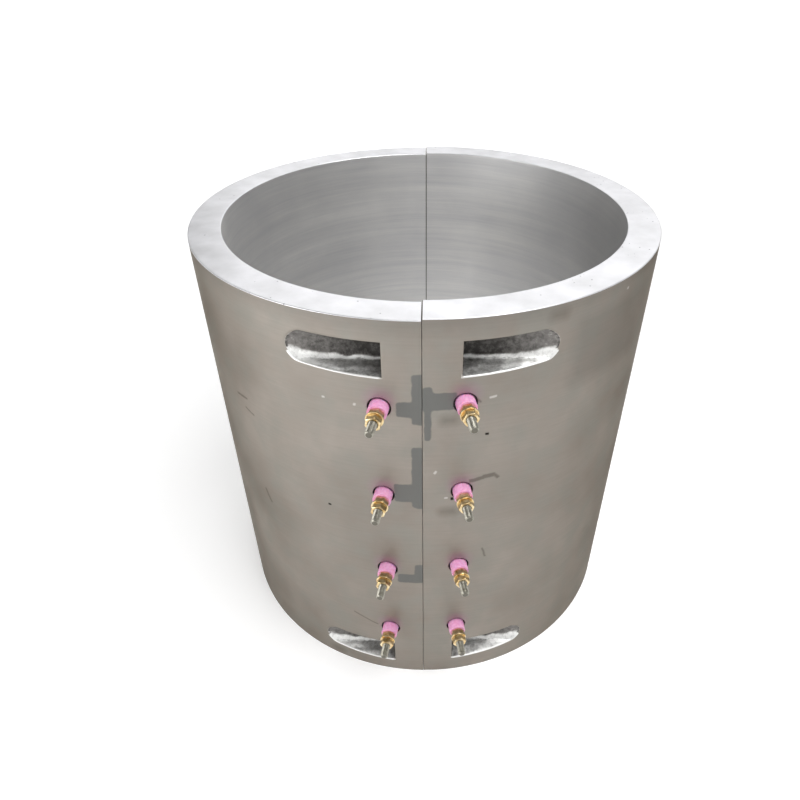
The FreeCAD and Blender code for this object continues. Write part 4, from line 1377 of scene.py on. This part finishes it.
rim = circle(96)[:-1] * FLOOR_REACH
floor_mesh = bpy.data.meshes.new("white_floor")
floor_mesh.from_pydata(np.column_stack([rim, rim[:, 0] * 0]), [], [range(len(rim))])
floor = stand(floor_mesh)
floor.data.materials.append(white_floor())
print("floor %.0f m wide" % (2 * FLOOR_REACH))

# %% Room
LEFT_WALL, RIGHT_WALL, CEILING = 1.05, 0.34, 0.2    # strength of the room's light
world = bpy.data.worlds.new("soft room")
bpy.context.scene.world = world
world.use_nodes = True
tree = world.node_tree
axes = add(tree, "SeparateXYZ", {0: add(tree, "TexCoord").outputs["Generated"]})
walls = add(tree, "MapRange", {"Value": axes.outputs["X"], "From Min": -0.6,
                               "From Max": 0.6, "To Min": LEFT_WALL,
                               "To Max": RIGHT_WALL})
strength = add(tree, "MapRange", {"Value": axes.outputs["Z"], "From Min": 0.05,
                                  "From Max": 0.35, "To Min": walls,
                                  "To Max": CEILING})
feed(tree, tree.nodes["Background"], {"Color": (1, 1, 1, 1), "Strength": strength})
print("room light from %.2f at the left to %.2f at the right" % (LEFT_WALL, RIGHT_WALL))

# %% Lamps
LAMPS = [
    # title, place, width, height in metres, power in watts
    ("overhead_softbox", (0.55, -0.5, 1.65), 1.2, 1.2, 24.5),
    ("back_softbox", (0.3, 1.8, 1.6), 2.6, 1.5, 15.5),
    ("left_softbox", (-1.5, -1.0, 0.5), 1.2, 0.9, 11.0),
]
middle = Vector((0, 0, HEIGHT["right"] / 2 * MM))
for title, spot, width, height, watts in LAMPS:
    lamp = bpy.data.lights.new(title, "AREA")
    lamp.shape = "RECTANGLE"
    lamp.size, lamp.size_y, lamp.energy = width, height, watts
    holder = bpy.data.objects.new(title, lamp)
    holder.location = spot
    holder.rotation_euler = (middle - Vector(spot)).to_track_quat("-Z", "Y").to_euler()
    bpy.context.scene.collection.objects.link(holder)
print(len(LAMPS), "lamps")

# %% Camera
CAMERA_PLACE = Vector((4.22, -420.23, 443.93)) * MM
CAMERA_FORWARD = Vector((-0.0025, 0.8046, -0.5938)).normalized()
CAMERA_ROLL = math.radians(0.15)
FOCAL_PIXELS = 648.02
PRINCIPAL = (428.62, 405.27)     # pixel that the lens looks at
FRAME_PIXELS = 800
camera = bpy.data.cameras.new("camera")
camera.sensor_width = 36.0
camera.lens = FOCAL_PIXELS * camera.sensor_width / FRAME_PIXELS
camera.shift_x = (FRAME_PIXELS / 2 - PRINCIPAL[0]) / FRAME_PIXELS
camera.shift_y = (PRINCIPAL[1] - FRAME_PIXELS / 2) / FRAME_PIXELS
camera.clip_start = 0.01
viewer = bpy.data.objects.new("camera", camera)
forward = CAMERA_FORWARD.to_track_quat("-Z", "Y").to_matrix()
turn = forward @ Matrix.Rotation(CAMERA_ROLL, 3, "Z")
viewer.matrix_world = Matrix.Translation(CAMERA_PLACE) @ turn.to_4x4()
bpy.context.scene.collection.objects.link(viewer)
bpy.context.scene.camera = viewer
bpy.context.scene.view_settings.view_transform = "Standard"
print("lens of %.1f mm" % camera.lens)
